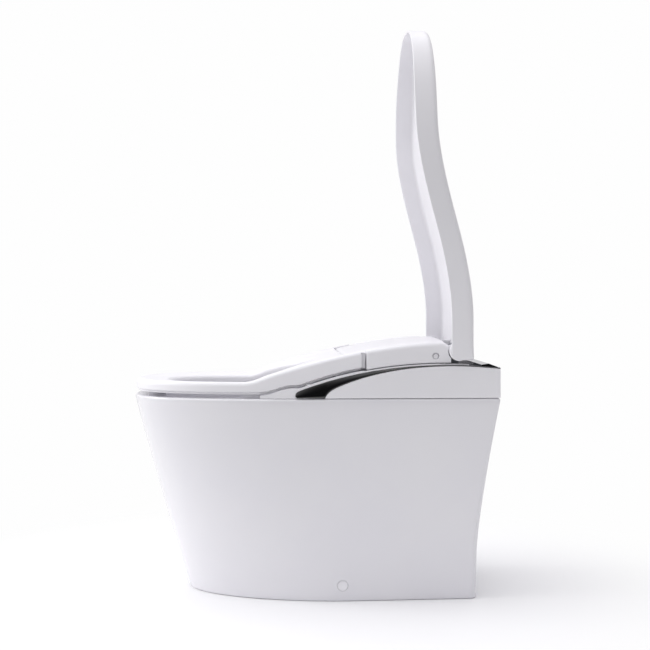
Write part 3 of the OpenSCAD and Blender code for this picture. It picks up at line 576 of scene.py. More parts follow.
# ---------------------------------------------------------------- ceramic pan
@dataclass
class Pan:
    """Skirted ceramic pan with its bowl, foot and side fixing caps."""

    wall: float = 14.0
    rim_slab: float = 16.0
    rim_round: float = 5.0
    foot_round: float = 2.5
    lip_round: float = 8.0
    bowl_floor: float = 105.0
    cap_y: float = 54.0
    cap_z: float = 30.0
    cap_d: float = 21.0
    taper: float = 32.0
    nose_setback: float = 108.0
    nose: float = 300.0
    rear_setback: float = 39.0
    bowl_wall: float = 10.0
    bowl_front: float = 36.0
    bowl_rear: float = 325.0
    bowl_band: float = 36.0
    trap_y: float = 75.0
    trap_z: float = 150.0
    trap_bend: float = 45.0
    trap_bore: float = 62.8
    levels: tuple[tuple[float, float, float, float], ...] = (
        (0, 0, 0, 1), (0.2, 8, -5, 0.97), (0.42, 30, -20, 0.88), (0.6, 66, -50, 0.72),
        (0.76, 118, -77, 0.5), (0.88, 155, -88, 0.34), (1, 180, -97, 0.2),
    )

    def drop(self, z: float) -> float:
        """How far the outline has drawn in at a height, from 0 at the rim to 1 at the floor."""
        return max(0.0, (AT.rim - z) / AT.rim) ** 1.08

    def outline(self, z: float, inset: float) -> Ring:
        """Outline of the skirt.

        Args:
            z: Height.
            inset: How far inside the outer face.

        Returns:
            The ring, from the left flank round the nose to the back.
        """
        d = self.drop(z)
        level = max(0.0, z)
        half = AT.half_rim - self.taper * d - inset
        y0 = AT.front + self.nose_setback * d + inset
        nose = self.nose - inset
        power = 2.5 - 0.6 * d
        rise = max(0.0, (level - AT.rim / 4) / (AT.rim * 3 / 4)) ** 1.35
        back = AT.rear - self.rear_setback * (1 - rise) - inset
        corner = max(1.5, 4 + 10 * d - inset / 2)
        pinch = 0.06 * d
        ring: Ring = []
        yc = y0 + nose
        for a in turn(-90, 90, 72):
            ring.append((half * spow(math.sin(a), 2 / power), yc - nose * max(0.0, math.cos(a)) ** (2 / power), z))
        side = []
        for i in range(1, 10):
            y = yc + (back - corner - yc) * i / 10
            t = i / 10
            side.append((half * (1 - pinch * (0.8 * t + 0.2 * t * t)), y))
        bend = [
            (half * (1 - pinch) - corner * (1 - math.cos(a)), back - corner * (1 - math.sin(a))) for a in turn(0, 90, 6)
        ]
        back_half = [(half * (1 - pinch) - corner) * k for k in (0.85, 0.66, 0.45, 0.22)]
        ring += [(x, y, z) for x, y in side + bend]
        ring += [(x, back, z) for x in back_half]
        ring.append((0.0, back, z))
        ring += [(-x, back, z) for x in reversed(back_half)]
        ring += [(-x, y, z) for x, y in reversed(side + bend)]
        return ring

    def bowl(self, share: float, grow: float, z: float, like: Ring) -> Ring:
        """Outline of the bowl.

        Args:
            share: Share of the bowl's depth.
            grow: How far outside the bowl's inner face.
            z: Height of the ring.
            like: Ring whose points give the directions.

        Returns:
            The ring.
        """
        k = max(i for i, row in enumerate(self.levels) if row[0] <= share + 1e-9)
        k = min(k, len(self.levels) - 2)
        a, b = self.levels[k], self.levels[k + 1]
        before = self.levels[max(0, k - 1)]
        after = self.levels[min(len(self.levels) - 1, k + 2)]
        t = (share - a[0]) / (b[0] - a[0])

        def ease(j: int) -> float:
            """Smooth curve through the levels."""
            h = b[0] - a[0]
            m0 = (b[j] - before[j]) / (b[0] - before[0]) * h if k else (b[j] - a[j])
            m1 = (after[j] - a[j]) / (after[0] - a[0]) * h
            return (
                (2 * t**3 - 3 * t**2 + 1) * a[j] + (t**3 - 2 * t**2 + t) * m0
                + (-2 * t**3 + 3 * t**2) * b[j] + (t**3 - t**2) * m1
            )

        front, rear = AT.front + self.bowl_front, AT.rear - self.bowl_rear
        y0, y1 = front + ease(1) - grow, rear + ease(2) + grow
        half = (AT.half_rim - self.bowl_band) * ease(3) + grow
        middle, length = (y0 + y1) / 2, (y1 - y0) / 2
        base_middle = (front + rear) / 2
        ring: Ring = []
        for x, y, _ in like:
            px, py = toward(x, (y - base_middle) / 1.15, half, length, 2 / 0.86)
            ring.append((px, middle + py, z))
        return ring

    def shell(self) -> Piece:
        """Grows the ceramic from the underside of the bowl, round the skirt and down into the bowl.

        Returns:
            The ceramic.
        """
        like = self.outline(AT.rim, 0)
        depth = AT.rim - self.bowl_floor
        rings: list[Ring] = []
        for share in (1.0, 0.94, 0.88, 0.82, 0.76, 0.68, 0.6, 0.51, 0.42, 0.31, 0.2, 0.1):
            z = AT.rim - depth * share - (10 if share > 0.95 else 0)
            rings.append(self.bowl(share, self.bowl_wall, z, like))
        ceiling = AT.rim - self.rim_slab
        rings.append(self.bowl(0.06, self.bowl_wall, ceiling, like))
        for z in spread(ceiling, 0, 12):
            rings.append(self.outline(z, self.wall))
        rings.append(self.outline(0, self.foot_round))
        for a in turn(30, 90, 2):
            rings.append(self.outline(self.foot_round * (1 - math.cos(a)), self.foot_round * (1 - math.sin(a))))
        top = AT.rim - self.rim_round
        for z in spread(10, top, 22):
            rings.append(self.outline(z, 0))
        for a in turn(15, 90, 5):
            rings.append(self.outline(top + self.rim_round * math.sin(a), self.rim_round * (1 - math.cos(a))))
        rings.append(self.outline(AT.rim, self.rim_round + 8))
        for a in turn(90, 0, 6):
            grow = self.lip_round * (1 - math.cos(a))
            z = AT.rim - self.lip_round * (1 - math.sin(a))
            rings.append(self.bowl(0.0, grow, z, like))
        for share in spread(0.06, 1.0, 30):
            rings.append(self.bowl(share, 0, AT.rim - depth * share, like))
        obj = grow_skin("ceramic_pan", rings, End.POLE, End.POLE)
        cutters = [
            rod("bore", (-200, self.cap_y, self.cap_z), (-125, self.cap_y, self.cap_z), self.cap_d),
            rod("bore", (125, self.cap_y, self.cap_z), (200, self.cap_y, self.cap_z), self.cap_d),
            brick("bay", (-100, self.trap_y, AT.rim - self.rim_slab - 1), (100, AT.rear - 30, AT.rim + 1)),
        ]
        bend, step = self.trap_bend, math.sin(math.pi / 4)
        y, z = self.trap_y - bend - bend * step, self.trap_z + bend * math.cos(math.pi / 4)
        above, below = (0, y + 4 * step, z + 4 * step), (0, y - 116 * step, z - 116 * step)
        cutters.append(rod("trap", above, below, self.trap_bore, 64))
        cut(obj, cutters)
        shade(obj, 34)
        return obj

    def cap(self) -> Piece:
        """A round cap with a soft edge, flush in the flank."""
        half = AT.half_rim - self.taper * self.drop(self.cap_z)
        steps = ((9.0, 9.6), (9.0, 9.9), (8.0, 10.2), (1.6, 10.2), (0.9, 9.95), (0.6, 9.4), (0.5, 8.6))
        profile = [(half - depth, radius) for depth, radius in steps]
        return disc("fixing_cap_right", profile, self.cap_y, self.cap_z, turn(0, 360 - 7.5, 47))

    def build(self, china: Material, plastic: Material) -> None:
        """Builds and dresses the pan."""
        settle(self.shell(), "toilet", china, "glazed_ceramic", "pan_shell")
        settle_pair(self.cap(), "fixing_cap_left", "toilet", plastic, "white_plastic", ["fixing_caps"])


# ---------------------------------------------------------------- seat
@dataclass
class Seat:
    """Seat ring in two shells, with its two hinge arms."""

    edge_round: float = 8.5
    inner_round: float = 9.0
    split: float = 4.0
    opening_half: float = 108.0
    opening_front: float = -281.0
    opening_rear: float = 4.0
    dish: float = 3.0
    notch_half: float = 153.0
    notch_front: float = 53.0
    arm_in: float = 151.0

    def outer(self, inset: float) -> list[tuple[float, float]]:
        """Plan outline of the seat ring at an inset, counterclockwise from the left flank."""
        half = AT.seat_half - inset
        nose = AT.seat_nose - inset
        y0 = AT.seat_front + inset
        back = AT.ring_end - min(inset, 1.2)
        yc = y0 + nose
        points: list[tuple[float, float]] = []
        for a in turn(-90, 90, 84):
            points.append((half * spow(math.sin(a), 2 / 2.5), yc - nose * max(0.0, math.cos(a)) ** (2 / 2.5)))
        flank = [(half, yc + (back - yc) * i / 16) for i in range(1, 17)]
        across = [(half * k, back) for k in (0.88, 0.72, 0.55, 0.37, 0.19)]
        points += flank + across + [(0.0, back)]
        points += [(-x, y) for x, y in reversed(across)] + [(-x, y) for x, y in reversed(flank)]
        return points

    def inner(self, grow: float) -> list[tuple[float, float]]:
        """Plan outline of the opening, one point for each point of the outer outline."""
        middle = (self.opening_front + self.opening_rear) / 2
        length = (self.opening_rear - self.opening_front) / 2 + grow
        half = self.opening_half + grow
        points: list[tuple[float, float]] = []
        for x, y in self.outer(0):
            px, py = toward(x, (y - middle - 12) / 1.25, half, length, 2 / 0.84)
            points.append((px, middle + py))
        return points

    def ring(self, low: float, high: float, inset: float, name: str, crown: bool) -> Piece:
        """Grows one shell of the seat as a band that closes on itself.

        Args:
            low: Height of its lower face above the seat's underside.
            high: Height of its upper face above the underside, or 0 for the seat's top.
            inset: How far inside the seat's outline.
            name: Name of the piece.
            crown: Whether it has the rounded upper edge and the dish.

        Returns:
            The shell.
        """
        loops: list[tuple[list[tuple[float, float]], Callable[[float], float]]] = []

        def level(drop: float) -> Callable[[float], float]:
            """Height at a station, a given drop below the upper face."""
            if high:
                return lambda y: AT.under_z(y) + high - drop
            return lambda y: AT.top_z(y) - drop

        foot = 1.5 if crown else 0.6
        outer_base = self.outer(inset)
        loops.append((self.outer(inset + foot), lambda y: AT.under_z(y) + low))
        loops.append((outer_base, lambda y: AT.under_z(y) + low + foot))
        if crown:
            r = self.edge_round
            for a in turn(0, 90, 8):
                loops.append((self.outer(inset + r * (1 - math.cos(a))), level(r * (1 - math.sin(a)))))
            inner_top = self.inner(self.inner_round)
            outer_top = self.outer(inset + r)
            for t in spread(0.0, 1.0, 8)[1:]:
                mixed = [
                    (ox + (ix - ox) * t, oy + (iy - oy) * t)
                    for (ox, oy), (ix, iy) in zip(outer_top, inner_top)
                ]
                loops.append((mixed, level(self.dish * smooth01(t * 1.05))))
            for a in turn(70, 0, 5):
                grow = self.inner_round * (1 - math.cos(a))
                loops.append((self.inner(grow), level(self.dish + self.inner_round * (1 - math.sin(a)))))
        else:
            loops.append((outer_base, level(foot)))
            loops.append((self.outer(inset + foot), level(0)))
            loops.append((self.inner(2 + foot), level(0)))
            loops.append((self.inner(2), level(foot)))
        loops.append((self.inner(0 if crown else 2), lambda y: AT.under_z(y) + low + foot))
        loops.append((self.inner(foot if crown else 2 + foot), lambda y: AT.under_z(y) + low))
        rings = [[(x, y, height(y)) for x, y in loop] for loop, height in loops]
        rings.append(rings[0])
        obj = grow_skin(name, rings, End.JOIN, End.JOIN)
        grown = 0.0 if crown else 2.0
        reach = self.notch_half + grown
        front = self.notch_front - grown
        plan = [(-reach, front + 3.5), (-reach + 3, front), (reach - 3, front), (reach, front + 3.5)]
        plan += [(reach, AT.ring_end + 5), (-reach, AT.ring_end + 5)]
        cut(obj, [grow_skin("notch", [[(x, y, z) for x, y in plan] for z in (AT.rim, AT.rim + 130)])])
        shade(obj, 34)
        return obj

    def arm(self) -> Piece:
        """One hinge arm: a rounded bar that follows the seat's top line to the lid's boss.

        Returns:
            The right arm.
        """
        end_y = AT.lid_y - 13.5
        inner, outer = self.arm_in, AT.seat_half
        start_y = AT.arm_front + 2.2
        stations = [start_y, start_y + 0.5, start_y + 1.5]
        tail_len = 24.0
        stations += spread(start_y + 4, end_y - tail_len, 26)
        stations += [end_y - tail_len + tail_len * math.sin(a) for a in turn(7.5, 90, 11)]
        rings: list[Ring] = []
        for y in stations:
            inset = 1.2 * (1 - math.sqrt(max(0.0, 1 - max(0.0, 1 - (y - start_y) / 1.5) ** 2)))
            tail = max(0.0, (y - (end_y - tail_len)) / tail_len)
            drop = 15 * (1 - math.sqrt(max(0.0, 1 - tail * tail)))
            low, high = AT.under_z(y) - 2 + inset, AT.top_z(y) - inset - drop
            r_out, r_in, r_low = 8.5, 3.0, 1.6
            near, far = inner + inset, outer - inset
            section = [(near + r_low, low), (far - r_low, low)]
            section += arc(far - r_low, low + r_low, r_low, -60, 0, 2)
            section += arc(far - r_out, high - r_out, r_out, 0, 90, 8)
            section += arc(near + r_in, high - r_in, r_in, 90, 180, 4)
            section += arc(near + r_low, low + r_low, r_low, 180, 240, 2)
            rings.append([(x, y, z) for x, z in section])
        obj = grow_skin("seat_arm_right_cover", rings)
        pivot = (AT.lid_y, AT.lid_z)
        cut(obj, [
            rod("boss", (inner - 2, *pivot), (outer + 2, *pivot), 2 * (17.5 + 1.4), 96),
            rod("socket", (outer - 5, AT.seat_y, AT.seat_z), (outer + 2, AT.seat_y, AT.seat_z), 12.8),
        ])
        shade(obj, 34)
        return obj

    def pin_cap(self) -> Piece:
        """Small dished cap, set low in its hole over the seat's hinge pin."""
        steps = ((5.0, 4.2), (5.0, 4.9), (2.2, 4.9), (1.7, 4.6), (1.6, 4.2), (1.6, 2.4), (2.2, 2.0))
        profile = [(AT.seat_half - depth, radius) for depth, radius in steps]
        return disc("hinge_pin_cap_right", profile, AT.seat_y, AT.seat_z - 1.1, turn(0, 350, 35), 30)

    def build(self, plastic: Material) -> None:
        """Builds and dresses the seat."""
        settle(self.ring(self.split, 0, 0, "seat_upper_shell", True), "seat", plastic, "seat_plastic", "seat_top")
        settle(
            self.ring(0, self.split - 0.1, 4, "seat_lower_shell", False), "seat", plastic, "seat_plastic", "seat_base"
        )
        settle_pair(
            self.arm(), "seat_arm_left_cover", "seat", plastic, "seat_plastic", ["seat_arm_right"], ["seat_arm_left"]
        )
        settle_pair(self.pin_cap(), "hinge_pin_cap_left", "seat", plastic, "white_plastic", ["pin_caps"])


# ---------------------------------------------------------------- housing
@dataclass
class Housing:
    """White cover over the works, between the seat's arms."""

    front: float = 48.0
    back: float = 251.0
    half: float = 146.0
    low: float = 391.2
    edge: float = 14.0
    front_round: float = 6.0
    crown: float = 3.0
    lean_from: float = 427.0
    wand_z: float = 412.0
    wand_bore: float = 22.0
    wand_slope: float = 25.0
    flap_span: tuple[float, float] = (38.4, 85.6)
    flap_rise: tuple[float, float] = (395.4, 419.4)
    window_x: float = -70.0
    window_z: float = 421.0
    window_d: float = 16.4
    slot_span: tuple[float, float] = (88.0, 105.0)

    def section(self, y: float, inset: float) -> Ring:
        """Outline of the cover at a station, seen from the front."""
        high = AT.top_z(y) - inset
        w = self.half - inset
        r = self.edge
        near_front = clamp((self.front + 60 - y) / 60)

        def lean(z: float) -> float:
            """How far the cover's front lies back at a height."""
            return 7 * smooth01((z - self.lean_from) / 9) * near_front

        up = spread(self.low, high - r, 12)
        outline = [(w, z) for z in up[:-1]] + arc(w - r, high - r, r, 0, 90, 8)
        outline += [((w - r) * k, high + self.crown * (1 - k * k)) for k in spread(0.9, -0.9, 12)]
        outline += arc(r - w, high - r, r, 90, 180, 8) + [(-w, z) for z in reversed(up[:-1])]
        return [(x, y + lean(z), z) for x, z in outline]

    def build(self, plastic: Material) -> None:
        """Builds and dresses the cover."""
        r = self.front_round
        rings = [self.section(self.front + r * (1 - math.cos(a)), r * (1 - math.sin(a))) for a in turn(0, 90, 6)]
        rings += [self.section(y, 0) for y in spread(self.front + 12, self.back - 10, 26)]
        rings += [self.section(self.back - r * (1 - math.cos(a)), r * (1 - math.sin(a))) for a in turn(90, 0, 6)]
        obj = grow_skin("centre_cover", rings)
        slope = math.radians(self.wand_slope)
        down, face = (-math.cos(slope), -math.sin(slope)), self.front
        ends = [(0, face + k * down[0], self.wand_z + k * down[1]) for k in (-40, 40)]
        (flap_in, flap_out), (flap_low, flap_high) = self.flap_span, self.flap_rise
        cutters = [
            rod("wand", ends[0], ends[1], self.wand_bore),
            brick("flap", (flap_in, face - 1, flap_low), (flap_out, face + 4, flap_high)),
            rod("window", (self.window_x, face - 1, self.window_z), (self.window_x, face + 8, self.window_z),
                self.window_d),
        ]
        for side in (1, -1):
            low, high = sorted(side * x for x in self.slot_span)
            cutters.append(brick("slot", (low, self.back - 6, 380), (high, self.back + 2, AT.lid_z + 2)))
        cut(obj, cutters)
        shade(obj, 34)
        settle(obj, "toilet", plastic, "white_plastic", "centre_housing")


# ---------------------------------------------------------------- side trim
@dataclass
class Trim:
    """Black blades, white side panels and the white lips under the seat."""

    back: float = 349.0
    lip_front: float = -76.0
    lip_back: float = 236.0

    def strip(
        self, name: str, stations: Sequence[float], low: Callable[[float], float], high: Callable[[float], float],
        lean: float, edge: float, span: tuple[float, float] = (180.0, 184.0),
    ) -> Piece:
        """Grows a strip of moulding along the flank.

        Args:
            name: Name of the piece.
            stations: Places along the object, front to back.
            low: Height of the lower edge at a station.
            high: Height of the upper edge at a station.
            lean: How far the outer face leans in at its upper edge.
            edge: Rounding of the outer edges.
            span: Inner and outer face, from the object's middle.

        Returns:
            The right-hand strip.
        """
        rings: list[Ring] = []
        inner, outer = span
        for y in stations:
            z0, z1 = low(y), high(y)
            r = min(edge, (z1 - z0) / 2.2)
            section = [(inner, z0), (outer - r, z0)] + arc(outer - r, z0 + r, r, -60, 0, 2)
            section += [(outer - lean * t * t, z0 + r + (z1 - z0 - 2 * r) * t) for t in spread(0.15, 0.85, 5)]
            section += arc(outer - lean - r, z1 - r, r, 0, 90, 3) + [(inner, z1)]
            rings.append([(x, y, z) for x, z in section])
        obj = grow_skin(name, rings)
        shade(obj, 34)
        return obj

    def blade_low(self, y: float) -> float:
        """Lower edge of the black blade."""
        nose = clamp((y - AT.blade_tip) / 5)
        flat = AT.rim + 0.8 + 6 * (1 - math.sqrt(nose * (2 - nose)))
        return max(flat, self.fair_high(y) + 0.3) if y > AT.fair_tip - 1 else flat

    def blade_high(self, y: float) -> float:
        """Upper edge of the black blade."""
        nose = clamp((y - AT.blade_tip) / 12)
        return AT.rim + 7.2 + (AT.blade_top(max(y, AT.blade_tip + 8)) - AT.rim - 7.2) * math.sqrt(nose * (2 - nose))

    def fair_high(self, y: float) -> float:
        """Upper edge of the white side panel, which rises steeply at its tip."""
        ahead = max(0.0, y - AT.fair_tip)
        return AT.fair_top(y) - 8.8 * math.exp(-ahead / 6) - 0.9 * smooth01((y - 60) / 120)

    def lip_low(self, y: float) -> float:
        """Lower edge of the white lip, which rests on the pan and then on the blade."""
        return AT.rim + 0.9 if y < AT.blade_tip else self.blade_high(y) + 0.15

    def lip_high(self, y: float) -> float:
        """Upper edge of the white lip, just under the seat."""
        seat = AT.under_z(y) - 1.1 - 2.0 * smooth01((y - AT.arm_front + 6) / 4)
        return min(seat, AT.blade_top(max(y, AT.blade_tip + 8)) + 4.6)

    def build(self, black: Material, white: Material) -> None:
        """Builds and dresses the side trim."""
        sweep = [1 - math.cos(a) for a in turn(0, 90, 60)]
        tip = [AT.blade_tip + k for k in (0.15, 0.6, 1.4, 2.6, 4.0, 6.0, 9.0)]
        lead = spread(AT.blade_tip + 12, AT.fair_tip - 1.2, 14)
        run = [AT.fair_tip + 0.3 + (self.back - AT.fair_tip - 0.3) * k**0.85 for k in sweep]
        blade = self.strip("black_blade_right", tip + lead + run, self.blade_low, self.blade_high, 1.6, 1.2)
        panel = self.strip("side_panel_right", run, lambda y: AT.rim + 0.8, self.fair_high, 0.0, 1.2)
        other_panel = mirrored(panel, "side_panel_left")
        cut(other_panel, [rod("key", (-190, y, AT.rim + 34), (-178, y, AT.rim + 34), 14.6) for y in (258.0, 284.0)])
        shade(other_panel, 34)
        along = spread(self.lip_front, AT.blade_tip - 0.5, 14) + spread(AT.blade_tip + 0.2, self.lip_back, 60)
        lip = self.strip("rail_lip_right", along, self.lip_low, self.lip_high, 0.0, 0.5, (179.85, 181.8))
        settle_pair(lip, "rail_lip_left", "toilet", white, "white_plastic")
        settle_pair(blade, "black_blade_left", "toilet", black, "black_gloss", ["blade_right"], ["blade_left"])
        settle(panel, "toilet", white, "white_plastic", "fairing_right")
        settle(other_panel, "toilet", white, "white_plastic", "fairing_left")


# ---------------------------------------------------------------- lid
@dataclass
class Lid:
    """S-curved lid shell with its skirt and hinge bosses, standing open."""

    half: float = 190.0
    length: float = 633.3
    nose: float = 314.0
    foot: float = 16.0
    skirt: float = 42.0
    wall: float = 4.0
    edge: float = 9.0
    crown: float = 3.4
    boss: float = 17.5

    def back_y(self, h: float) -> float:
        """Outer face of the lid at a height above its hinge."""
        return AT.lid_y + 28 - 62 * smooth01((h - 60) / 380) - 0.02 * max(0.0, h - 200)

    def depth(self, h: float) -> float:
        """Depth of the skirt at a height above the hinge."""
        return self.skirt - 4 * smooth01((h - self.length + 160) / 160)

    def outline(self) -> list[tuple[float, float]]:
        """Flat outline of the lid, from the foot's middle round the nose and back, right side first."""
        corner = 6.0
        points: list[tuple[float, float]] = [(self.half * k, -self.foot) for k in spread(0.0, 0.94, 10)]
        points += [
            (self.half - corner * (1 - math.sin(a)), -self.foot + corner * (1 - math.cos(a))) for a in turn(0, 90, 12)
        ]
        points += [(self.half, h) for h in spread(0, self.nose, 26)]
        tall = self.length - self.nose
        for a in turn(0, 90, 60)[1:]:
            points.append((self.half * max(0.0, math.cos(a)) ** 0.8, self.nose + tall * math.sin(a) ** 0.8))
        left = [(-x, h) for x, h in reversed(points[1:-1])]
        return points + left

    def profile(self, index: int, points: Sequence[tuple[float, float]]) -> Ring:
        """Path from the middle of the outer face over the edge to the middle of the inner face.

        Args:
            index: Station on the outline.
            points: The whole flat outline.

        Returns:
            Points across the lid, height above the hinge, and depth from the outer face.
        """
        x, h = points[index]
        ax, ah = points[index - 1]
        bx, bh = points[(index + 1) % len(points)]
        tangent = Vector((bx - ax, bh - ah)).normalized()
        inward = Vector((-tangent.y, tangent.x))
        spine_h = min(max(h, 130.0), self.length - 170)
        side = abs(x) / self.half
        foot = h < 1 and side < 0.9999
        corner = h < 1e-6 and h > -self.foot - 1e-6 and side > 0.96
        r = self.edge if h > 6 else 3.0 + (self.edge - 3.0) * smooth01((h + 10) / 16)
        deep = self.depth(h)
        path: Ring = []
        for t in spread(0.0, 0.94, 10):
            px, ph = x + inward.x * r, h + inward.y * r
            path.append((px * t, spine_h + (ph - spine_h) * t, 0.0))
        for a in turn(0, 90, 7):
            shift = r * (1 - math.sin(a))
            path.append((x + inward.x * shift, h + inward.y * shift, r * (1 - math.cos(a))))
        rim_out, rim_in = self.rim_points(x, h, inward, deep, corner, foot)
        start = path[-1]
        for t in (0.25, 0.5, 0.75):
            path.append(tuple(s + (e - s) * t for s, e in zip(start, rim_out)))
        path.append((rim_out[0], rim_out[1], rim_out[2] - (0.8 if not foot else 0.0)))
        path.append(tuple(o + (i - o) * 0.25 for o, i in zip(rim_out, rim_in)))
        path.append(tuple(o + (i - o) * 0.75 for o, i in zip(rim_out, rim_in)))
        path.append((rim_in[0], rim_in[1], rim_in[2] - (0.8 if not foot else 0.0)))
        base = (x + inward.x * self.wall, h + inward.y * self.wall, self.wall + r * 0.6)
        for t in (0.33, 0.66):
            path.append(tuple(s + (e - s) * t for s, e in zip(rim_in, base)))
        ri = max(1.0, r - self.wall + 2)
        for a in turn(90, 0, 5):
            shift = self.wall + ri * (1 - math.sin(a))
            deep_in = self.wall + ri * (1 - math.cos(a))
            path.append((x + inward.x * shift, h + inward.y * shift, deep_in))
        px, ph = path[-1][0], path[-1][1]
        for t in spread(0.94, 0.0, 10):
            path.append((px * t, spine_h + (ph - spine_h) * t, self.wall))
        return path

    def rim_points(
        self, x: float, h: float, inward: Vector, deep: float, corner: bool, foot: bool
    ) -> tuple[Point, Point]:
        """Outer and inner point of the skirt's free edge at a station.

        Args:
            x: Place across the lid.
            h: Height above the hinge.
            inward: Direction into the lid on the flat outline.
            deep: Depth of the full skirt.
            corner: Whether the station is on a rounded corner at the foot.
            foot: Whether the station is on the foot's edge.

        Returns:
            The outer and the inner point.
        """
        sign = 1.0 if x >= 0 else -1.0
        if corner:
            # the corner's stations run down the skirt's rounded front corner and back along its end
            share = clamp((h + self.foot) / 6.0) if h < -10 + 1e-6 else 1.0
            arc = clamp((share - 0.35) / 0.65)
            if share > 0.35:
                angle = math.radians(90 * (1 - arc))
                low = -2 - 14 * math.sin(angle)
                far = deep - 14 + 14 * math.cos(angle)
            else:
                low, far = -self.foot, self.wall + (deep - 14 - self.wall) * share / 0.35
            return (sign * self.half, low, far), (sign * (self.half - self.wall), low, far)
        if foot:
            return (x, h, 2.6), (x, h + 0.8, self.wall)
        return (x, h, deep), (x + inward.x * self.wall, h + inward.y * self.wall, deep)

    def place(self, point: Point) -> Point:
        """Bends a flat lid point along the S curve and crowns it."""
        x, h, depth = point
        across = clamp(abs(x) / self.half)
        tall = clamp((h - self.length + 150) / 150)
        crown = self.crown * (1 - across**2) * (1 - tall**2) if depth < 6 else 0.0
        return x, self.back_y(h) - depth + crown, AT.lid_z + h

    def build(self, plastic: Material) -> None:
        """Builds and dresses the lid."""
        points = self.outline()
        paths = [self.profile(i, points) for i in range(len(points))]
        count = len(paths[0])
        rings = [[self.place(path[k]) for path in paths] for k in range(count)]
        obj = grow_skin("lid_panel", rings, End.JOIN, End.JOIN)
        shade(obj, 40)
        settle(obj, "lid", plastic, "seat_plastic", "lid_shell")
        settle_pair(self.boss_disc(), "lid_boss_left", "lid", plastic, "seat_plastic")

    def boss_disc(self) -> Piece:
        """Round boss of the skirt about the lid's hinge."""
        outer, inner = self.half - 1.2, self.half - self.wall - 6
        profile = (
            (inner, self.boss - 1), (inner + 0.6, self.boss - 0.2), (inner + 1.2, self.boss),
            (outer - 1.6, self.boss), (outer - 0.7, self.boss - 0.3), (outer - 0.15, self.boss - 1.2),
            (outer + 0.0, self.boss - 2.6),
        )
        return disc("lid_boss_right", profile, AT.lid_y, AT.lid_z, turn(0, 355, 71))


# ---------------------------------------------------------------- everything carried over from CAD
@dataclass
class Works:
    """CAD nodes that keep their shape and get a finish."""

    finishes: dict[str, Material] = field(default_factory=dict)
    special: dict[str, Material] = field(default_factory=dict)

    def build(self, frame: dict) -> None:
        """Gives every shown CAD node the finish of its slot."""
        slots = {part["node"]: part["material_slot"] for part in frame["record"]["subparts"]}
        for name, obj in frame["nodes"].items():
            if obj.hide_render:
                continue
            finish = self.special.get(name) or self.finishes[slots[name]]
            obj.data.materials.clear()
            obj.data.materials.append(finish)
            LOG.info("%s keeps its CAD shape", name)


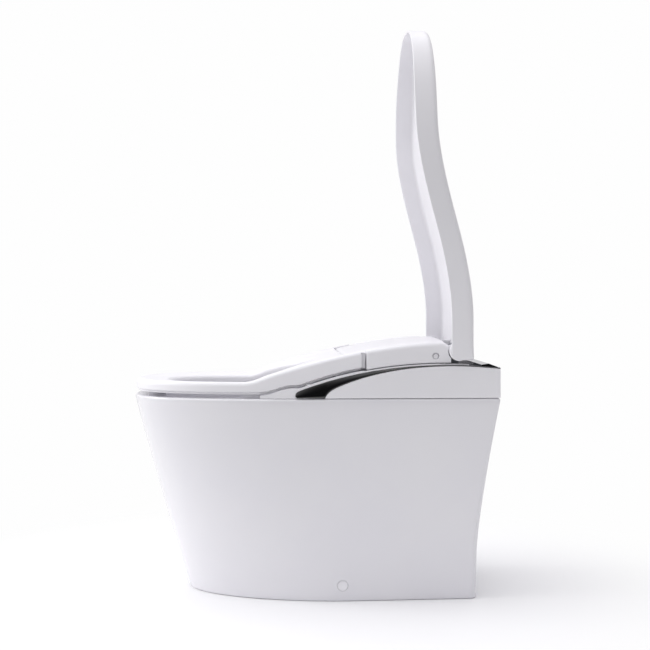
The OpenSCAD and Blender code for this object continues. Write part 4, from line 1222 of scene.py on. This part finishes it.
# ---------------------------------------------------------------- studio
@dataclass
class Studio:
    """Pale floor, soft light and the camera."""

    camera_at: Point = (2.4514, -0.0857, 0.575)
    azimuth: float = 87.35
    lens: float = 67.5
    shift_y: float = -0.043
    sky: float = 1.0
    horizon: float = 0.04
    backlight: float = 0.75
    overhead: float = 22.0
    frontal: float = 31.0
    upper_front: float = 12.0

    def floor(self) -> None:
        """A round pale floor, small enough that the black trim doesn't mirror it."""
        nothing_selected()
        bpy.ops.mesh.primitive_circle_add(vertices=96, radius=2.4, fill_type="NGON", location=(0, 0, -0.0005))
        obj = bpy.context.object
        obj.name = "studio_floor"
        paint = bpy.data.materials.new("matt_white_floor")
        paint.use_nodes = True
        tree = paint.node_tree
        tree.nodes.clear()
        place = add_node(tree, "ShaderNodeTexCoord").outputs["Object"]
        grain = add_node(tree, "ShaderNodeTexNoise", {"Vector": place}, Scale=1.5, Detail=2.0)
        tone = add_node(tree, "ShaderNodeValToRGB", {"Fac": grain.outputs["Fac"]})
        tone.color_ramp.elements[0].color = linear("F2F2F3")
        tone.color_ramp.elements[1].color = linear("F4F4F5")
        shader = add_node(tree, "ShaderNodeBsdfPrincipled", {"Base Color": tone.outputs["Color"]}, Roughness=0.75)
        # the painted floor runs out into a lit white sweep
        away = add_node(tree, "ShaderNodeVectorMath", {"0": place}, operation="LENGTH")
        fade = add_node(
            tree, "ShaderNodeMapRange", {"Value": away.outputs["Value"]}, interpolation_type="SMOOTHSTEP",
            From_Min=0.4, From_Max=0.9, To_Min=0.0, To_Max=1.0,
        )
        sweep = add_node(tree, "ShaderNodeEmission", Color=linear("FEFEFE"), Strength=1.0)
        both = add_node(
            tree, "ShaderNodeMixShader",
            {"0": fade.outputs["Result"], "1": shader.outputs["BSDF"], "2": sweep.outputs["Emission"]},
        )
        add_node(tree, "ShaderNodeOutputMaterial", {"Surface": both.outputs["Shader"]})
        obj.data.materials.append(paint)
        obj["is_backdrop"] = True

    def lamp(self, name: str, at: Point, aim: Point, size: tuple[float, float], power: float) -> None:
        """A rectangular soft light.

        Args:
            name: Name of the lamp.
            at: Where it stands, in metres.
            aim: What it looks at.
            size: Its width and height.
            power: Its power in watts.
        """
        data = bpy.data.lights.new(name, "AREA")
        data.shape = "RECTANGLE"
        data.size, data.size_y = size
        data.energy = power
        obj = bpy.data.objects.new(name, data)
        bpy.context.collection.objects.link(obj)
        obj.location = at
        obj.rotation_euler = (Vector(aim) - Vector(at)).to_track_quat("-Z", "Y").to_euler()

    def build(self) -> None:
        """Sets up floor, lights, world and camera."""
        self.floor()
        world = bpy.data.worlds.new("studio_white")
        bpy.context.scene.world = world
        world.use_nodes = True
        tree = world.node_tree
        tree.nodes.clear()
        sides = add_node(
            tree, "ShaderNodeSeparateXYZ", {"Vector": add_node(tree, "ShaderNodeTexCoord").outputs["Generated"]}
        )
        # light comes from a bright ceiling, a little more from the front, and none from the horizon
        ceiling = add_node(
            tree, "ShaderNodeMapRange", {"Value": sides.outputs["Z"]}, interpolation_type="SMOOTHSTEP",
            From_Min=0.04, From_Max=0.62, To_Min=self.horizon, To_Max=self.sky,
        )
        across = add_node(
            tree, "ShaderNodeMapRange", {"Value": sides.outputs["Y"]}, From_Min=-1.0, From_Max=1.0, To_Min=1.15,
            To_Max=0.8,
        )
        behind = add_node(
            tree, "ShaderNodeMapRange", {"Value": sides.outputs["X"]}, interpolation_type="SMOOTHSTEP",
            From_Min=0.25, From_Max=-0.55, To_Min=0.0, To_Max=self.backlight,
        )
        brighter = add_node(
            tree, "ShaderNodeMath", {"0": ceiling.outputs["Result"], "1": behind.outputs["Result"]},
            operation="MAXIMUM",
        )
        lit = add_node(
            tree, "ShaderNodeMath", {"0": brighter.outputs["Value"], "1": across.outputs["Result"]},
            operation="MULTIPLY",
        )
        glow = add_node(tree, "ShaderNodeBackground", {"Strength": lit.outputs["Value"]}, Color=linear("FCFBFE"))
        backdrop = add_node(tree, "ShaderNodeBackground", Color=linear("FEFEFE"), Strength=1.0)
        seen = add_node(tree, "ShaderNodeLightPath").outputs["Is Camera Ray"]
        both = add_node(
            tree, "ShaderNodeMixShader",
            {"0": seen, "1": glow.outputs["Background"], "2": backdrop.outputs["Background"]},
        )
        add_node(tree, "ShaderNodeOutputWorld", {"Surface": both.outputs["Shader"]})
        self.lamp("overhead", (0.0, -0.2, 3.0), (0, 0, 0.3), (3.0, 3.0), self.overhead)
        self.lamp("front", (0.2, -3.0, 1.4), (0, 0, 0.4), (2.4, 2.0), self.frontal)
        self.lamp("upper_front", (0.0, -2.4, 1.9), (0, 0.25, 0.85), (1.2, 1.2), self.upper_front)
        view = bpy.context.scene.view_settings
        view.view_transform = "Standard"
        data = bpy.data.cameras.new("camera")
        data.lens = self.lens
        data.sensor_width = 36
        data.sensor_fit = "HORIZONTAL"
        data.shift_y = self.shift_y
        data.clip_end = 50
        camera = bpy.data.objects.new("camera", data)
        bpy.context.collection.objects.link(camera)
        camera.location = self.camera_at
        camera.rotation_euler = (math.pi / 2, 0, math.radians(self.azimuth))
        bpy.context.scene.camera = camera


def write_size(before: object) -> None:
    """Builds the box of the frame and of the dressed model as plain lists, but keeps it nowhere.

    Args:
        before: Box of the frame right after it was loaded.
    """

    def plain(value: object) -> object:
        """Lists in place of vectors."""
        if isinstance(value, (Vector, tuple, list)):
            return [plain(v) for v in value]
        return float(value)

    {"frame": plain(before), "model": plain(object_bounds())}


def main() -> None:
    """Builds every sub-assembly in order."""
    logging.basicConfig(level=logging.INFO, format="%(message)s")
    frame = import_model()
    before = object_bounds()
    china, white, seat_white = CHINA.build(), ABS_WHITE.build(), SEAT_PP.build()
    black, steel, soft_grey = PIANO_BLACK.build(), STEEL.build(), SILICONE.build()
    Pan().build(china, white)
    Seat().build(seat_white)
    Housing().build(white)
    Trim().build(black, white)
    Lid().build(seat_white)
    Works({
        "glazed_ceramic": china, "white_plastic": white, "seat_plastic": seat_white, "black_gloss": black,
        "dark_lens": LENS.build(), "grey_plastic": NYLON_GREY.build(), "tank_plastic": TANK_PE.build(),
        "rubber": EPDM.build(), "soft_grey": soft_grey, "steel": steel, "die_cast": ZINC.build(),
        "brass": BRASS.build(), "board_green": BOARD.build(), "heater_film": FOIL.build(),
    }, {"seat_bumpers": SILICONE_WHITE.build()}).build(frame)
    Studio().build()
    write_size(before)


if __name__ == "__main__":
    main()
